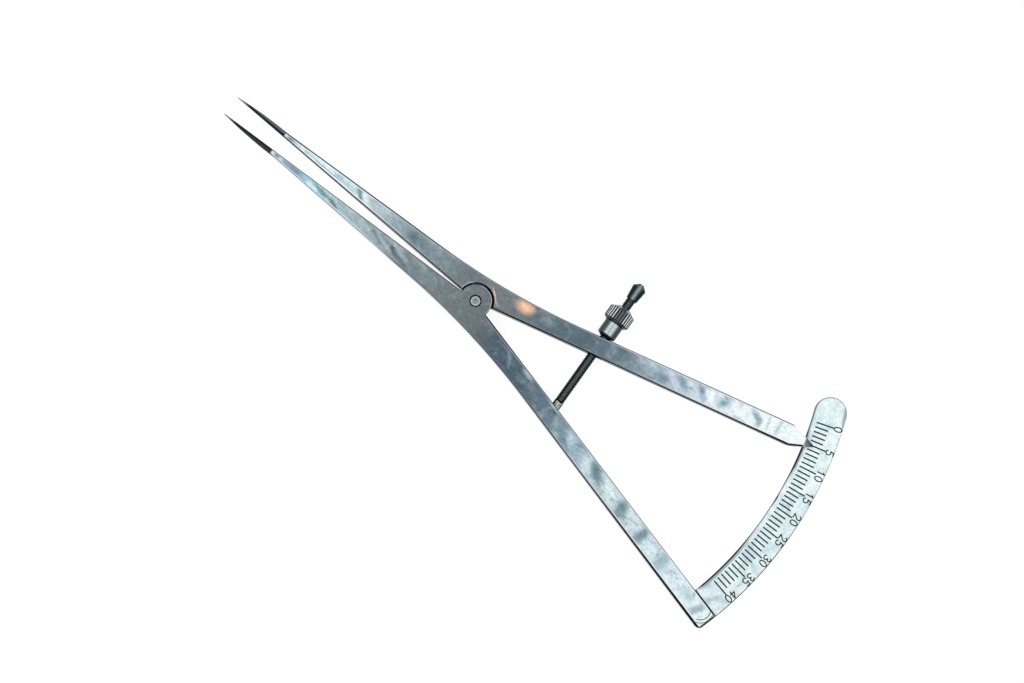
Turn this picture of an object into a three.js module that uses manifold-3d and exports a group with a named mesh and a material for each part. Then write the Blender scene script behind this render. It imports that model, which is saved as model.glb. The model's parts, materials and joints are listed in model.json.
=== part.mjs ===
// A straight surgical caliper with a 0 to 40 mm scale, in the pose that reads 5 mm.
// The origin is the pivot, on the underside of the joint. +Y runs to the needle points,
// +X to the side of the pointer arm, and +Z up to the face that carries the scale.
// Lengths are millimetres and angles are degrees.
import * as THREE from "three";
import { mergeVertices } from "three/addons/utils/BufferGeometryUtils.js";
import Module from "manifold-3d";

const wasm = await Module();
wasm.setup();

// Measuring geometry
const TIP_RADIUS = 77; // pivot to the needle points
const READING = 5; // distance between the points as modelled
const LONGEST_READING = 40;
const TIP_RELIEF = 0.015; // left at each point when the caliper reads 0
const ARM_RELIEF = 0.05; // the arms' inner faces stay this far behind the points

// Arm blanks
const ARM_THICKNESS = 3.6;
const ARM_EDGE_BEVEL = 0.22;
const BEVEL_SHARE = 0.16; // the most that a bevel takes of a thin section
const FRONT_WAIST = 5.95; // outer edge of the front half, carried on to the pivot's line
const FRONT_OUTER_ANGLE = 2.4;
const REAR_WAIST = 5.0; // outer edge of the rear half, carried on to the pivot's line
const REAR_OUTER_ANGLE = 14.33;
const REAR_INNER_ANGLE = 14.04;
const BEND_RADIUS = 195; // rounds the outer edge where the two halves meet
const BEND_STEPS = 10;
const FRONT_TAPER_START = 30;
const REAR_TAPER_START = 45;
const REAR_THICKNESS = 2.5;
const BLANK_OVERRUN = 0.7; // the blank runs this far past the scale arm's end and is cut back

// Needles
const NEEDLE_LENGTH = 15;
const NEEDLE_ROOT_THICKNESS = 2.0;
const NEEDLE_POINT_WIDTH = 0.2;
const NEEDLE_POINT_THICKNESS = 0.3;
const NEEDLE_CURVE = 1.8; // how late the needle draws in: 1 is a straight taper
const NEEDLE_STEPS = 7;

// Lap joint and its rivet
const LAP_DISC_RADIUS = 4.15;
const LAP_CLEARANCE = 0.35; // round each disc
const LAP_GAP = 0.06; // between the two discs
const LAP_RIM_BEVEL = 0.15;
const RIVET_RADIUS = 1.05;
const RIVET_HEAD_RADIUS = 1.2;
const RIVET_HEAD_HEIGHT = 0.5;
const RIVET_HEAD_BEVEL = 0.38;
const RIVET_GROOVE_WIDTH = 0.28; // open ring round each head
const RIVET_CLEARANCE = 0.04;

// Scale arm's end
const SCALE_ARM_END_MARGIN = 0.4; // from the plate's outer radius to the square end
const SCALE_ARM_CORNER = 1.3;
const SCALE_ARM_SEAM_CORNER = 0.6;
const SCALE_ARM_NOSE = 1.0; // the end is rounded over, up and down

// Scale plate
const PLATE_CENTRE_OFFSET = 1.85; // its arcs are struck from a point this far to the scale arm's side
const PLATE_INNER_RADIUS = 88.7;
const PLATE_WIDTH = 8.2;
const PLATE_THICKNESS = 0.8;
const PLATE_FLOOR = 1.2; // height of its underside
const PLATE_EDGE_BEVEL = 0.08;
const PLATE_ROUND_ANGLE = 22.39; // centre of the rounded free end
const TONGUE_DEPTH = 3.4; // how far the plate goes into the scale arm
const TONGUE_SHOULDER = 1.3;
const TONGUE_SPREAD_ANGLE = 4; // more than the tongue's depth takes
const BRAZE_GAP = 0.05;

// Pointer
const POINTER_REACH = 2.3; // from the plate's inner radius to the pointer's tip
const POINTER_ANGLE = 15.45; // from the line behind the pivot
const POINTER_LENGTH = 7.4; // the part where the arm draws in
const POINTER_HALF_WIDTH = 3.2;
const POINTER_STEP_MARGIN = 1.7; // from the plate's inner radius back to where the arm is full
const POINTER_PLATE_GAP = 0.25; // between the pointer and the scale plate
const POINTER_BEVEL_LENGTH = 2.5;
const POINTER_TIP_THICKNESS = 0.2;
// Shares along the pointer and across it: the outer shoulder, the beak's outer side to the
// tip, and back along the inner side
const POINTER_SHOULDER_SHARES = [
  [0, 1.02],
  [0.09, 0.98],
  [0.22, 0.85],
  [0.33, 0.71],
  [0.41, 0.6],
];
const POINTER_BEAK_SHARES = [
  [0.64, 0.46],
  [1, 0.08],
];
const POINTER_INNER_SHARES = [
  [1, 0.05],
  [0.79, -0.17],
  [0.58, -0.34],
  [0.21, -0.6],
  [0, -0.66],
];

// Screw linkage: the pin in the scale arm and the nut's seat lie at the same radius,
// so the rod turns by half of the arms' angle
const LINK_RADIUS = 33.25;
const PIN_INSET = 1.96; // from the scale arm's inner edge
const SEAT_CLEARANCE = 0.32; // between the washer and the pointer arm's outer edge
const PIN_RADIUS = 0.7;
const PIN_CLEARANCE = 0.04;
const PIN_PRESS_GAP = 0.02;

// Rod, along its own axis from the pin
const ROD_RADIUS = 1.2;
const ROD_START = 3.35; // where the flat tongue turns into the round rod
const ROD_START_BEVEL = 0.25;
const STOP_MARGIN = 0.62; // between the nut and the stop when the caliper is shut
const ROD_TONGUE_WIDTH = 2.3;
const ROD_TONGUE_THICKNESS = 1.3;
const POCKET_CLEARANCE = 0.1;
const POCKET_SWING_SHARES = [0, 0.25, 0.5, 0.75, 1];
const SLOT_CLEARANCE = 0.12;

// Stop on the rod's end
const STOP_SEAT_GAP = 0.05;
const STOP_START_RADIUS = 1.45;
const STOP_RADIUS = 1.82;
const STOP_FLARE_LENGTH = 3.5;
const STOP_BEVEL_LENGTH = 1.08;
const STOP_END_RADIUS = 0.6;
const SPIGOT_RADIUS = 0.9;
const SPIGOT_LENGTH = 1.9;
const SPIGOT_CLEARANCE = 0.05;

// Nut, from the bottom of its collar
const NUT_BORE_CLEARANCE = 0.06;
const COLLAR_RADIUS = 2.42;
const COLLAR_HEIGHT = 3.85;
const COLLAR_BEVEL = 0.32;
const HEAD_RADIUS = 3.42;
const HEAD_FOOT_RADIUS = 2.6;
const HEAD_FOOT_BEVEL = 0.66;
const HEAD_STRAIGHT = 2.82;
const HEAD_CONE_HEIGHT = 1.1;
const HEAD_TOP_RADIUS = 1.58;
const KNURL_TEETH = 28;
const KNURL_DEPTH = 0.34;
const KNURL_CREST_SHARE = 0.34; // of the tooth pitch
const KNURL_ROOT_SHARE = 0.16;
const KNURL_ROOT_PLACE = 0.5; // of the tooth pitch, from the crest to the root

// Seat washer under the nut
const WASHER_RADIUS = 1.65;
const WASHER_THICKNESS = 0.3;
const WASHER_BEVEL = 0.18;
const WASHER_GAP = 0.03; // to the nut

// Facets
const FINE_SEGMENTS = 56;
const SMALL_SEGMENTS = 32;
const CURVE_STEPS = 16;
const CORNER_STEPS = 8;
const CUT_OVERRUN = 1; // how far a cutter runs past the piece that it cuts
const MERGE_DISTANCE = 1e-4;

// Worked out from the sizes above
const MID_HEIGHT = ARM_THICKNESS / 2;
const REAR_AXIS_ANGLE = (REAR_INNER_ANGLE + REAR_OUTER_ANGLE) / 2;
const HALF_OPEN = openingAngle(READING) / 2;
const CLOSING = openingAngle(READING);
const OPENING = openingAngle(LONGEST_READING) - openingAngle(READING);
const NEEDLE_ROOT = TIP_RADIUS - NEEDLE_LENGTH;
const LAP_TOP_FLOOR = MID_HEIGHT + LAP_GAP / 2;
const LAP_BOTTOM_ROOF = MID_HEIGHT - LAP_GAP / 2;
const LAP_RECESS_RADIUS = LAP_DISC_RADIUS + LAP_CLEARANCE;
const PLATE_OUTER_RADIUS = PLATE_INNER_RADIUS + PLATE_WIDTH;
const PLATE_TOP = PLATE_FLOOR + PLATE_THICKNESS;
const SCALE_ARM_LENGTH = PLATE_OUTER_RADIUS + SCALE_ARM_END_MARGIN;
const BLANK_END = SCALE_ARM_LENGTH + BLANK_OVERRUN;
const POINTER_RADIUS = PLATE_INNER_RADIUS + POINTER_REACH;
const POINTER_STEP_RADIUS = PLATE_INNER_RADIUS - POINTER_STEP_MARGIN;
const ROD_BORE_RADIUS = ROD_RADIUS + NUT_BORE_CLEARANCE;
const PIN_ANGLE = linkAngle(REAR_INNER_ANGLE, ARM_RELIEF, PIN_INSET);
const SEAT_STANDOFF = WASHER_THICKNESS + WASHER_GAP + SEAT_CLEARANCE;
const SEAT_ANGLE = linkAngle(REAR_OUTER_ANGLE, REAR_WAIST, SEAT_STANDOFF);
const PIN_POINT = polar(LINK_RADIUS, -PIN_ANGLE);
const SEAT_POINT = polar(LINK_RADIUS, SEAT_ANGLE);
const ROD_ANGLE = degrees(Math.atan2(SEAT_POINT.y - PIN_POINT.y, SEAT_POINT.x - PIN_POINT.x));
const NUT_SEAT = linkDistance(0);
const NUT_FARTHEST_SEAT = linkDistance(CLOSING);
const NUT_HEIGHT = COLLAR_HEIGHT + HEAD_FOOT_BEVEL + HEAD_STRAIGHT + HEAD_CONE_HEIGHT;
const ROD_LENGTH = NUT_FARTHEST_SEAT + NUT_HEIGHT + STOP_MARGIN; // pin to the stop's shoulder

function radians(angle) {
  return THREE.MathUtils.degToRad(angle);
}

function degrees(angle) {
  return THREE.MathUtils.radToDeg(angle);
}

// The angle between the arms when the points are this far apart
function openingAngle(reading) {
  return degrees(2 * Math.asin(reading / (2 * TIP_RADIUS)));
}

// A point behind the pivot, at an angle from the line straight back
function polar(radius, angle) {
  return new THREE.Vector2(radius * Math.sin(radians(angle)), -radius * Math.cos(radians(angle)));
}

// Where the link's circle meets a line that stands off from a rear edge of the arms
function linkAngle(edgeAngle, waist, standoff) {
  const distance = waist * Math.cos(radians(edgeAngle)) + standoff;
  return edgeAngle + degrees(Math.asin(distance / LINK_RADIUS));
}

// From the pin to the nut's seat, with the arms closed by an angle from the modelled pose
function linkDistance(closing) {
  return 2 * LINK_RADIUS * Math.sin(radians(PIN_ANGLE + SEAT_ANGLE + closing) / 2);
}

// Solids and meshes

function solid(geometry) {
  const bare = new THREE.BufferGeometry();
  bare.setAttribute("position", geometry.getAttribute("position"));
  bare.setIndex(geometry.index);
  const merged = mergeVertices(bare, MERGE_DISTANCE);
  return new wasm.Manifold(
    new wasm.Mesh({
      numProp: 3,
      vertProperties: merged.attributes.position.array,
      triVerts: new Uint32Array(merged.index.array),
    }),
  );
}

function geometryOf(body) {
  const mesh = body.getMesh();
  const geometry = new THREE.BufferGeometry();
  geometry.setAttribute("position", new THREE.BufferAttribute(mesh.vertProperties, 3));
  geometry.setIndex(new THREE.BufferAttribute(mesh.triVerts, 1));
  const faceted = geometry.toNonIndexed();
  faceted.computeVertexNormals();
  return faceted;
}

function node(name, body, material) {
  const mesh = new THREE.Mesh(geometryOf(body), material);
  mesh.name = name;
  return mesh;
}

// A plan shape given a height between two levels, with its edges bevelled inside that size
function extruded(shape, low, high, bevel = 0) {
  const geometry = new THREE.ExtrudeGeometry(shape, {
    depth: high - low - 2 * bevel,
    curveSegments: CURVE_STEPS,
    bevelEnabled: bevel > 0,
    bevelThickness: bevel,
    bevelSize: bevel,
    bevelOffset: -bevel,
    bevelSegments: 1,
  });
  return geometry.translate(0, 0, low + bevel);
}

function prism(points, low, high) {
  return extruded(new THREE.Shape(points), low, high);
}

function rectangle(left, right, near, far) {
  return [
    new THREE.Vector2(left, near),
    new THREE.Vector2(right, near),
    new THREE.Vector2(right, far),
    new THREE.Vector2(left, far),
  ];
}

// A side outline, drawn along Y and Z, given a width between two places across
function sidePrism(points, left, right) {
  return prism(points, left, right).rotateX(Math.PI / 2).rotateZ(Math.PI / 2);
}

// A turned piece about Z, its profile given as [radius, height] from axis to axis
function turned(profile, segments) {
  const points = profile.map(([radius, height]) => new THREE.Vector2(radius, height));
  return new THREE.LatheGeometry(points, segments).rotateX(Math.PI / 2);
}

function roundBar(radius, low, high, segments) {
  return turned([[0, low], [radius, low], [radius, high], [0, high]], segments);
}

// Lays an upright piece down, so that its height runs along +X
function laidDown(geometry) {
  return geometry.rotateY(Math.PI / 2);
}

// Arm blanks

// The outer edge: a front line and a rear line, joined by an arc that is tangent to both
function outerEdge() {
  const front = Math.tan(radians(FRONT_OUTER_ANGLE));
  const rear = Math.tan(radians(REAR_OUTER_ANGLE));
  const cornerY = -(FRONT_WAIST - REAR_WAIST) / (rear - front);
  const half = radians(REAR_OUTER_ANGLE - FRONT_OUTER_ANGLE) / 2;
  const tangent = BEND_RADIUS * Math.tan(half);
  const startY = cornerY + tangent * Math.cos(radians(FRONT_OUTER_ANGLE));
  const endY = cornerY - tangent * Math.cos(radians(REAR_OUTER_ANGLE));
  const startX = FRONT_WAIST - front * startY;
  const centre = new THREE.Vector2(
    startX + BEND_RADIUS * Math.cos(radians(FRONT_OUTER_ANGLE)),
    startY + BEND_RADIUS * Math.sin(radians(FRONT_OUTER_ANGLE)),
  );
  const at = (y) => {
    if (y >= startY) return FRONT_WAIST - front * y;
    if (y <= endY) return REAR_WAIST - rear * y;
    return centre.x - Math.sqrt(BEND_RADIUS ** 2 - (y - centre.y) ** 2);
  };
  return { at, startY, endY };
}

const OUTER = outerEdge();

function innerEdgeAt(y) {
  if (y > NEEDLE_ROOT) {
    const share = (y - NEEDLE_ROOT) / NEEDLE_LENGTH;
    return y * Math.tan(radians(HALF_OPEN)) + THREE.MathUtils.lerp(ARM_RELIEF, TIP_RELIEF, share);
  }
  if (y > 0) return y * Math.tan(radians(HALF_OPEN)) + ARM_RELIEF;
  return -y * Math.tan(radians(REAR_INNER_ANGLE)) + ARM_RELIEF;
}

function thicknessAt(y) {
  if (y > NEEDLE_ROOT) return needleSize(y, NEEDLE_ROOT_THICKNESS, NEEDLE_POINT_THICKNESS);
  if (y > FRONT_TAPER_START) {
    const share = (y - FRONT_TAPER_START) / (NEEDLE_ROOT - FRONT_TAPER_START);
    return THREE.MathUtils.lerp(ARM_THICKNESS, NEEDLE_ROOT_THICKNESS, share);
  }
  if (y > -REAR_TAPER_START) return ARM_THICKNESS;
  const share = (-y - REAR_TAPER_START) / (BLANK_END - REAR_TAPER_START);
  return THREE.MathUtils.lerp(ARM_THICKNESS, REAR_THICKNESS, share);
}

// A needle's width or thickness, which draws in slowly and then faster to the point
function needleSize(y, rootSize, pointSize) {
  const share = (y - NEEDLE_ROOT) / NEEDLE_LENGTH;
  return rootSize - (rootSize - pointSize) * share ** NEEDLE_CURVE;
}

function widthAt(y) {
  const rootWidth = OUTER.at(NEEDLE_ROOT) - innerEdgeAt(NEEDLE_ROOT);
  if (y > NEEDLE_ROOT) return needleSize(y, rootWidth, NEEDLE_POINT_WIDTH);
  return OUTER.at(y) - innerEdgeAt(y);
}

function stations() {
  const places = [];
  for (let step = NEEDLE_STEPS; step > 0; step--) {
    places.push(NEEDLE_ROOT + (NEEDLE_LENGTH * step) / NEEDLE_STEPS);
  }
  places.push(NEEDLE_ROOT, FRONT_TAPER_START);
  for (let step = 0; step <= BEND_STEPS; step++) {
    places.push(THREE.MathUtils.lerp(OUTER.startY, OUTER.endY, step / BEND_STEPS));
  }
  places.push(0, -REAR_TAPER_START, -BLANK_END);
  return places.sort((a, b) => b - a);
}

// One bevelled rectangle of the loft, from the inner edge round by the top
function section(y) {
  const inner = innerEdgeAt(y);
  const width = widthAt(y);
  const outer = inner + width;
  const thickness = thicknessAt(y);
  const low = MID_HEIGHT - thickness / 2;
  const high = MID_HEIGHT + thickness / 2;
  const bevel = Math.min(ARM_EDGE_BEVEL, width * BEVEL_SHARE, thickness * BEVEL_SHARE);
  return [
    [inner, y, low + bevel],
    [inner, y, high - bevel],
    [inner + bevel, y, high],
    [outer - bevel, y, high],
    [outer, y, high - bevel],
    [outer, y, low + bevel],
    [outer - bevel, y, low],
    [inner + bevel, y, low],
  ];
}

// The blank of one arm, lofted from the needle point to past the arm's end
function armBlank(side) {
  const rings = stations().map(section);
  const sides = rings[0].length;
  const positions = rings.flat().flatMap(([x, y, z]) => [side * x, y, z]);
  const index = [];
  const face = (a, b, c) => index.push(...(side < 0 ? [a, b, c] : [a, c, b]));
  for (let ring = 0; ring < rings.length - 1; ring++) {
    for (let k = 0; k < sides; k++) {
      const here = ring * sides + k;
      const next = ring * sides + ((k + 1) % sides);
      face(here, next, next + sides);
      face(here, next + sides, here + sides);
    }
  }
  const last = (rings.length - 1) * sides;
  for (let k = 1; k < sides - 1; k++) {
    face(0, k + 1, k);
    face(last, last + k, last + k + 1);
  }
  const geometry = new THREE.BufferGeometry();
  geometry.setAttribute("position", new THREE.Float32BufferAttribute(positions, 3));
  geometry.setIndex(index);
  return solid(geometry);
}

// Lap joint

// The disc that an arm carries in its own half of the thickness, as the upper one
function lapDisc() {
  return solid(
    turned(
      [
        [0, LAP_TOP_FLOOR],
        [LAP_DISC_RADIUS, LAP_TOP_FLOOR],
        [LAP_DISC_RADIUS, ARM_THICKNESS - LAP_RIM_BEVEL],
        [LAP_DISC_RADIUS - LAP_RIM_BEVEL, ARM_THICKNESS],
        [0, ARM_THICKNESS],
      ],
      FINE_SEGMENTS,
    ),
  );
}

// The round recess that an arm has in the other half, cut down from the upper face
function lapRecess() {
  const rise = CUT_OVERRUN + LAP_RIM_BEVEL;
  return solid(
    turned(
      [
        [0, LAP_BOTTOM_ROOF],
        [LAP_RECESS_RADIUS, LAP_BOTTOM_ROOF],
        [LAP_RECESS_RADIUS, ARM_THICKNESS - LAP_RIM_BEVEL],
        [LAP_RECESS_RADIUS + rise, ARM_THICKNESS + CUT_OVERRUN],
        [0, ARM_THICKNESS + CUT_OVERRUN],
      ],
      FINE_SEGMENTS,
    ),
  );
}

// The same shape for the lower half of the joint: the upper one turned over about Y
function turnedOver(body) {
  const geometry = geometryOf(body);
  geometry.translate(0, 0, -MID_HEIGHT).rotateY(Math.PI).translate(0, 0, MID_HEIGHT);
  return solid(geometry);
}

// Hole and head counterbores for the rivet, through both arms
function rivetHole() {
  const groove = RIVET_HEAD_RADIUS + RIVET_GROOVE_WIDTH;
  const bore = RIVET_RADIUS + RIVET_CLEARANCE;
  const through = roundBar(bore, -CUT_OVERRUN, ARM_THICKNESS + CUT_OVERRUN, SMALL_SEGMENTS);
  const floor = ARM_THICKNESS - RIVET_HEAD_HEIGHT - RIVET_CLEARANCE;
  const top = solid(roundBar(groove, floor, ARM_THICKNESS + CUT_OVERRUN, SMALL_SEGMENTS));
  return solid(through).add(top).add(turnedOver(top));
}

function pivotRivet() {
  const headStart = ARM_THICKNESS - RIVET_HEAD_HEIGHT;
  const crown = RIVET_HEAD_RADIUS - RIVET_HEAD_BEVEL;
  return solid(
    turned(
      [
        [0, 0],
        [crown, 0],
        [RIVET_HEAD_RADIUS, RIVET_HEAD_BEVEL],
        [RIVET_HEAD_RADIUS, RIVET_HEAD_HEIGHT],
        [RIVET_RADIUS, RIVET_HEAD_HEIGHT],
        [RIVET_RADIUS, headStart],
        [RIVET_HEAD_RADIUS, headStart],
        [RIVET_HEAD_RADIUS, ARM_THICKNESS - RIVET_HEAD_BEVEL],
        [crown, ARM_THICKNESS],
        [0, ARM_THICKNESS],
      ],
      SMALL_SEGMENTS,
    ),
  );
}

// Openings for the rod, drawn along the rod's own axis

function placedOnRod(geometry, point, swing) {
  return geometry.rotateZ(radians(ROD_ANGLE + swing)).translate(point.x, point.y, 0);
}

// The pocket in the scale arm that lets the rod's tongue swing about the pin
function tonguePocket() {
  const halfWidth = ROD_TONGUE_WIDTH / 2 + POCKET_CLEARANCE;
  const halfHeight = ROD_TONGUE_THICKNESS / 2 + POCKET_CLEARANCE;
  const low = MID_HEIGHT - halfHeight;
  const high = MID_HEIGHT + halfHeight;
  const round = roundBar(halfWidth, low, high, SMALL_SEGMENTS);
  let pocket = solid(round.translate(PIN_POINT.x, PIN_POINT.y, 0));
  for (const share of POCKET_SWING_SHARES) {
    const swing = THREE.MathUtils.lerp(CLOSING, -OPENING, share) / 2;
    const strip = prism(rectangle(0, ROD_START, -halfWidth, halfWidth), low, high);
    pocket = pocket.add(solid(placedOnRod(strip, PIN_POINT, swing)));
  }
  return pocket;
}

// The flared slot that the rod swings in, through the pointer arm from edge to edge.
// Its two ends are round and follow the rod where the caliper is shut and fully open.
function rodSlot() {
  const radius = ROD_RADIUS + SLOT_CLEARANCE;
  const reach = SEAT_POINT.x - innerEdgeAt(SEAT_POINT.y) + CUT_OVERRUN;
  const limits = [-CLOSING / 2, OPENING / 2];
  const ends = limits.map((swing) => {
    const bar = laidDown(roundBar(radius, -reach, CUT_OVERRUN, SMALL_SEGMENTS));
    return solid(placedOnRod(bar.translate(0, 0, MID_HEIGHT), SEAT_POINT, swing));
  });
  const corners = limits.map((swing) => {
    const back = new THREE.Vector2(-reach, 0);
    return back.rotateAround(new THREE.Vector2(), radians(ROD_ANGLE + swing)).add(SEAT_POINT);
  });
  const wedge = solid(prism([SEAT_POINT, ...corners], MID_HEIGHT - radius, MID_HEIGHT + radius));
  return ends[0].add(ends[1]).add(wedge);
}

function pinHole(clearance) {
  const top = ARM_THICKNESS + CUT_OVERRUN;
  return roundBar(PIN_RADIUS + clearance, -CUT_OVERRUN, top, SMALL_SEGMENTS);
}

// Scale plate

function plateAngle(angle) {
  return radians(angle) - Math.PI / 2;
}

// The plate's band between two radii, from an angle at the arm to the round free end
function plateBand(inner, outer, startAngle, endAngle, rounded) {
  const start = plateAngle(startAngle);
  const end = plateAngle(endAngle);
  const middle = (inner + outer) / 2;
  const centreX = -PLATE_CENTRE_OFFSET;
  const outline = new THREE.Shape();
  outline.absarc(centreX, 0, inner, start, end, false);
  if (rounded) {
    const roundX = centreX + middle * Math.cos(end);
    outline.absarc(roundX, middle * Math.sin(end), (outer - inner) / 2, end + Math.PI, end, true);
  }
  outline.absarc(centreX, 0, outer, end, start, true);
  return outline;
}

// A strip along the scale arm's inner edge, from one distance inside the arm to one outside it
function innerEdgeStrip(inside, outside) {
  const points = rectangle(-inside, outside, -PLATE_OUTER_RADIUS * 2, 0);
  const angle = -radians(REAR_INNER_ANGLE);
  const origin = new THREE.Vector2();
  const edge = new THREE.Vector2(-ARM_RELIEF, 0);
  return points.map((point) => point.rotateAround(origin, angle).add(edge));
}

// The part of the plate that goes into the arm; grown, it cuts the arm's slot
function plateTongue(growth) {
  const inner = PLATE_INNER_RADIUS + TONGUE_SHOULDER - growth;
  const outer = PLATE_OUTER_RADIUS - TONGUE_SHOULDER + growth;
  const low = PLATE_FLOOR - growth;
  const high = PLATE_TOP + growth;
  const band = plateBand(inner, outer, -REAR_INNER_ANGLE - TONGUE_SPREAD_ANGLE, 0, false);
  const outward = growth > 0 ? CUT_OVERRUN : BRAZE_GAP * 2;
  const strip = prism(innerEdgeStrip(TONGUE_DEPTH + growth, outward), low, high);
  return solid(extruded(band, low, high)).intersect(solid(strip));
}

function scalePlate() {
  const radii = [PLATE_INNER_RADIUS, PLATE_OUTER_RADIUS];
  const band = plateBand(...radii, -REAR_INNER_ANGLE, PLATE_ROUND_ANGLE, true);
  const blank = solid(extruded(band, PLATE_FLOOR, PLATE_TOP, PLATE_EDGE_BEVEL));
  const armSide = prism(innerEdgeStrip(PLATE_OUTER_RADIUS, BRAZE_GAP), 0, ARM_THICKNESS);
  return blank.subtract(solid(armSide)).add(plateTongue(0));
}

// Scale arm

// Cuts the arm's end square across its own axis, with rounded corners in plan
function scaleArmEndPlan() {
  const side = SCALE_ARM_LENGTH;
  const spread = side * Math.sin(radians((REAR_OUTER_ANGLE - REAR_INNER_ANGLE) / 2));
  const outer = -REAR_WAIST * Math.cos(radians(REAR_OUTER_ANGLE)) - spread;
  const inner = spread - ARM_RELIEF;
  const corner = SCALE_ARM_CORNER;
  const seam = SCALE_ARM_SEAM_CORNER;
  const outline = new THREE.Shape();
  outline.moveTo(side, side);
  outline.lineTo(-side, side);
  outline.lineTo(-side, corner - side);
  outline.absarc(outer + corner, corner - side, corner, Math.PI, Math.PI * 1.5);
  outline.absarc(inner - seam, seam - side, seam, Math.PI * 1.5, Math.PI * 2);
  outline.lineTo(side, seam - side);
  return extruded(outline, -CUT_OVERRUN, ARM_THICKNESS + CUT_OVERRUN);
}

// Rounds the arm's end over, up and down
function scaleArmEndSide() {
  const thickness = thicknessAt(-SCALE_ARM_LENGTH);
  const low = MID_HEIGHT - thickness / 2;
  const high = MID_HEIGHT + thickness / 2;
  const side = SCALE_ARM_LENGTH;
  const outline = new THREE.Path();
  outline.moveTo(side, -CUT_OVERRUN);
  outline.lineTo(side, ARM_THICKNESS + CUT_OVERRUN);
  outline.lineTo(SCALE_ARM_NOSE - side, ARM_THICKNESS + CUT_OVERRUN);
  outline.absarc(SCALE_ARM_NOSE - side, high - SCALE_ARM_NOSE, SCALE_ARM_NOSE, Math.PI / 2, Math.PI);
  outline.absarc(SCALE_ARM_NOSE - side, low + SCALE_ARM_NOSE, SCALE_ARM_NOSE, Math.PI, Math.PI * 1.5);
  outline.lineTo(SCALE_ARM_NOSE - side, -CUT_OVERRUN);
  return sidePrism(outline.getPoints(CORNER_STEPS), -side, side);
}

function scaleArm() {
  const turn = -radians(REAR_AXIS_ANGLE);
  const pin = pinHole(PIN_PRESS_GAP).translate(PIN_POINT.x, PIN_POINT.y, 0);
  return armBlank(-1)
    .intersect(solid(scaleArmEndPlan().rotateZ(turn)))
    .intersect(solid(scaleArmEndSide().rotateZ(turn)))
    .subtract(turnedOver(lapRecess()))
    .add(lapDisc())
    .subtract(rivetHole())
    .subtract(tonguePocket())
    .subtract(solid(pin))
    .subtract(plateTongue(BRAZE_GAP));
}

// Pointer arm

function pointerPoint([along, across]) {
  const radius = POINTER_RADIUS - POINTER_LENGTH * (1 - along);
  return new THREE.Vector2(across * POINTER_HALF_WIDTH, -radius);
}

// The pointer's plan: the arm draws in, rounded, to a short beak
function pointerPlan() {
  const shoulder = new THREE.SplineCurve(POINTER_SHOULDER_SHARES.map(pointerPoint));
  const inside = new THREE.SplineCurve(POINTER_INNER_SHARES.map(pointerPoint));
  const side = POINTER_RADIUS;
  const points = [
    new THREE.Vector2(side, side),
    new THREE.Vector2(side, pointerPoint([0, 0]).y),
    ...shoulder.getPoints(CORNER_STEPS),
    ...POINTER_BEAK_SHARES.map(pointerPoint),
    ...inside.getPoints(CORNER_STEPS),
    new THREE.Vector2(-side, pointerPoint([0, 0]).y),
    new THREE.Vector2(-side, side),
  ];
  return prism(points, -CUT_OVERRUN, ARM_THICKNESS + CUT_OVERRUN);
}

// Frees the pointer's underside, so that it passes over the scale plate
function pointerUndercut() {
  const far = POINTER_RADIUS + CUT_OVERRUN;
  const points = rectangle(-POINTER_LENGTH, POINTER_LENGTH, -far, -POINTER_STEP_RADIUS);
  return prism(points, -CUT_OVERRUN, PLATE_TOP + POINTER_PLATE_GAP);
}

// Thins the beak from above towards its tip
function pointerBevel() {
  const startY = POINTER_BEVEL_LENGTH - POINTER_RADIUS;
  const startZ = MID_HEIGHT + thicknessAt(startY) / 2;
  const tipZ = PLATE_TOP + POINTER_PLATE_GAP + POINTER_TIP_THICKNESS;
  const endY = -POINTER_RADIUS - CUT_OVERRUN;
  const roof = ARM_THICKNESS + CUT_OVERRUN;
  const slope = (startZ - tipZ) / POINTER_BEVEL_LENGTH;
  const endZ = tipZ - slope * CUT_OVERRUN;
  const runUp = (roof - startZ) / slope;
  const points = [
    new THREE.Vector2(startY + runUp, roof),
    new THREE.Vector2(endY, endZ),
    new THREE.Vector2(endY, roof),
  ];
  return sidePrism(points, -POINTER_LENGTH, POINTER_LENGTH);
}

function pointerArm() {
  const turn = radians(POINTER_ANGLE);
  return armBlank(1)
    .intersect(solid(pointerPlan().rotateZ(turn)))
    .subtract(solid(pointerUndercut().rotateZ(turn)))
    .subtract(solid(pointerBevel().rotateZ(turn)))
    .subtract(lapRecess())
    .add(turnedOver(lapDisc()))
    .subtract(rivetHole())
    .subtract(rodSlot());
}

// Screw

// The rod's flat tongue, with a round end about the pin
function rodTongue() {
  const half = ROD_TONGUE_WIDTH / 2;
  const outline = new THREE.Shape();
  outline.moveTo(ROD_START + ROD_START_BEVEL, half);
  outline.absarc(0, 0, half, Math.PI / 2, Math.PI * 1.5);
  outline.lineTo(ROD_START + ROD_START_BEVEL, -half);
  return extruded(outline, -ROD_TONGUE_THICKNESS / 2, ROD_TONGUE_THICKNESS / 2);
}

function threadedRod() {
  const bar = turned(
    [
      [0, ROD_START],
      [ROD_RADIUS - ROD_START_BEVEL, ROD_START],
      [ROD_RADIUS, ROD_START + ROD_START_BEVEL],
      [ROD_RADIUS, ROD_LENGTH],
      [SPIGOT_RADIUS, ROD_LENGTH],
      [SPIGOT_RADIUS, ROD_LENGTH + SPIGOT_LENGTH],
      [0, ROD_LENGTH + SPIGOT_LENGTH],
    ],
    SMALL_SEGMENTS,
  );
  const hole = pinHole(PIN_CLEARANCE).translate(0, 0, -MID_HEIGHT);
  return solid(laidDown(bar)).add(solid(rodTongue())).subtract(solid(hole));
}

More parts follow.
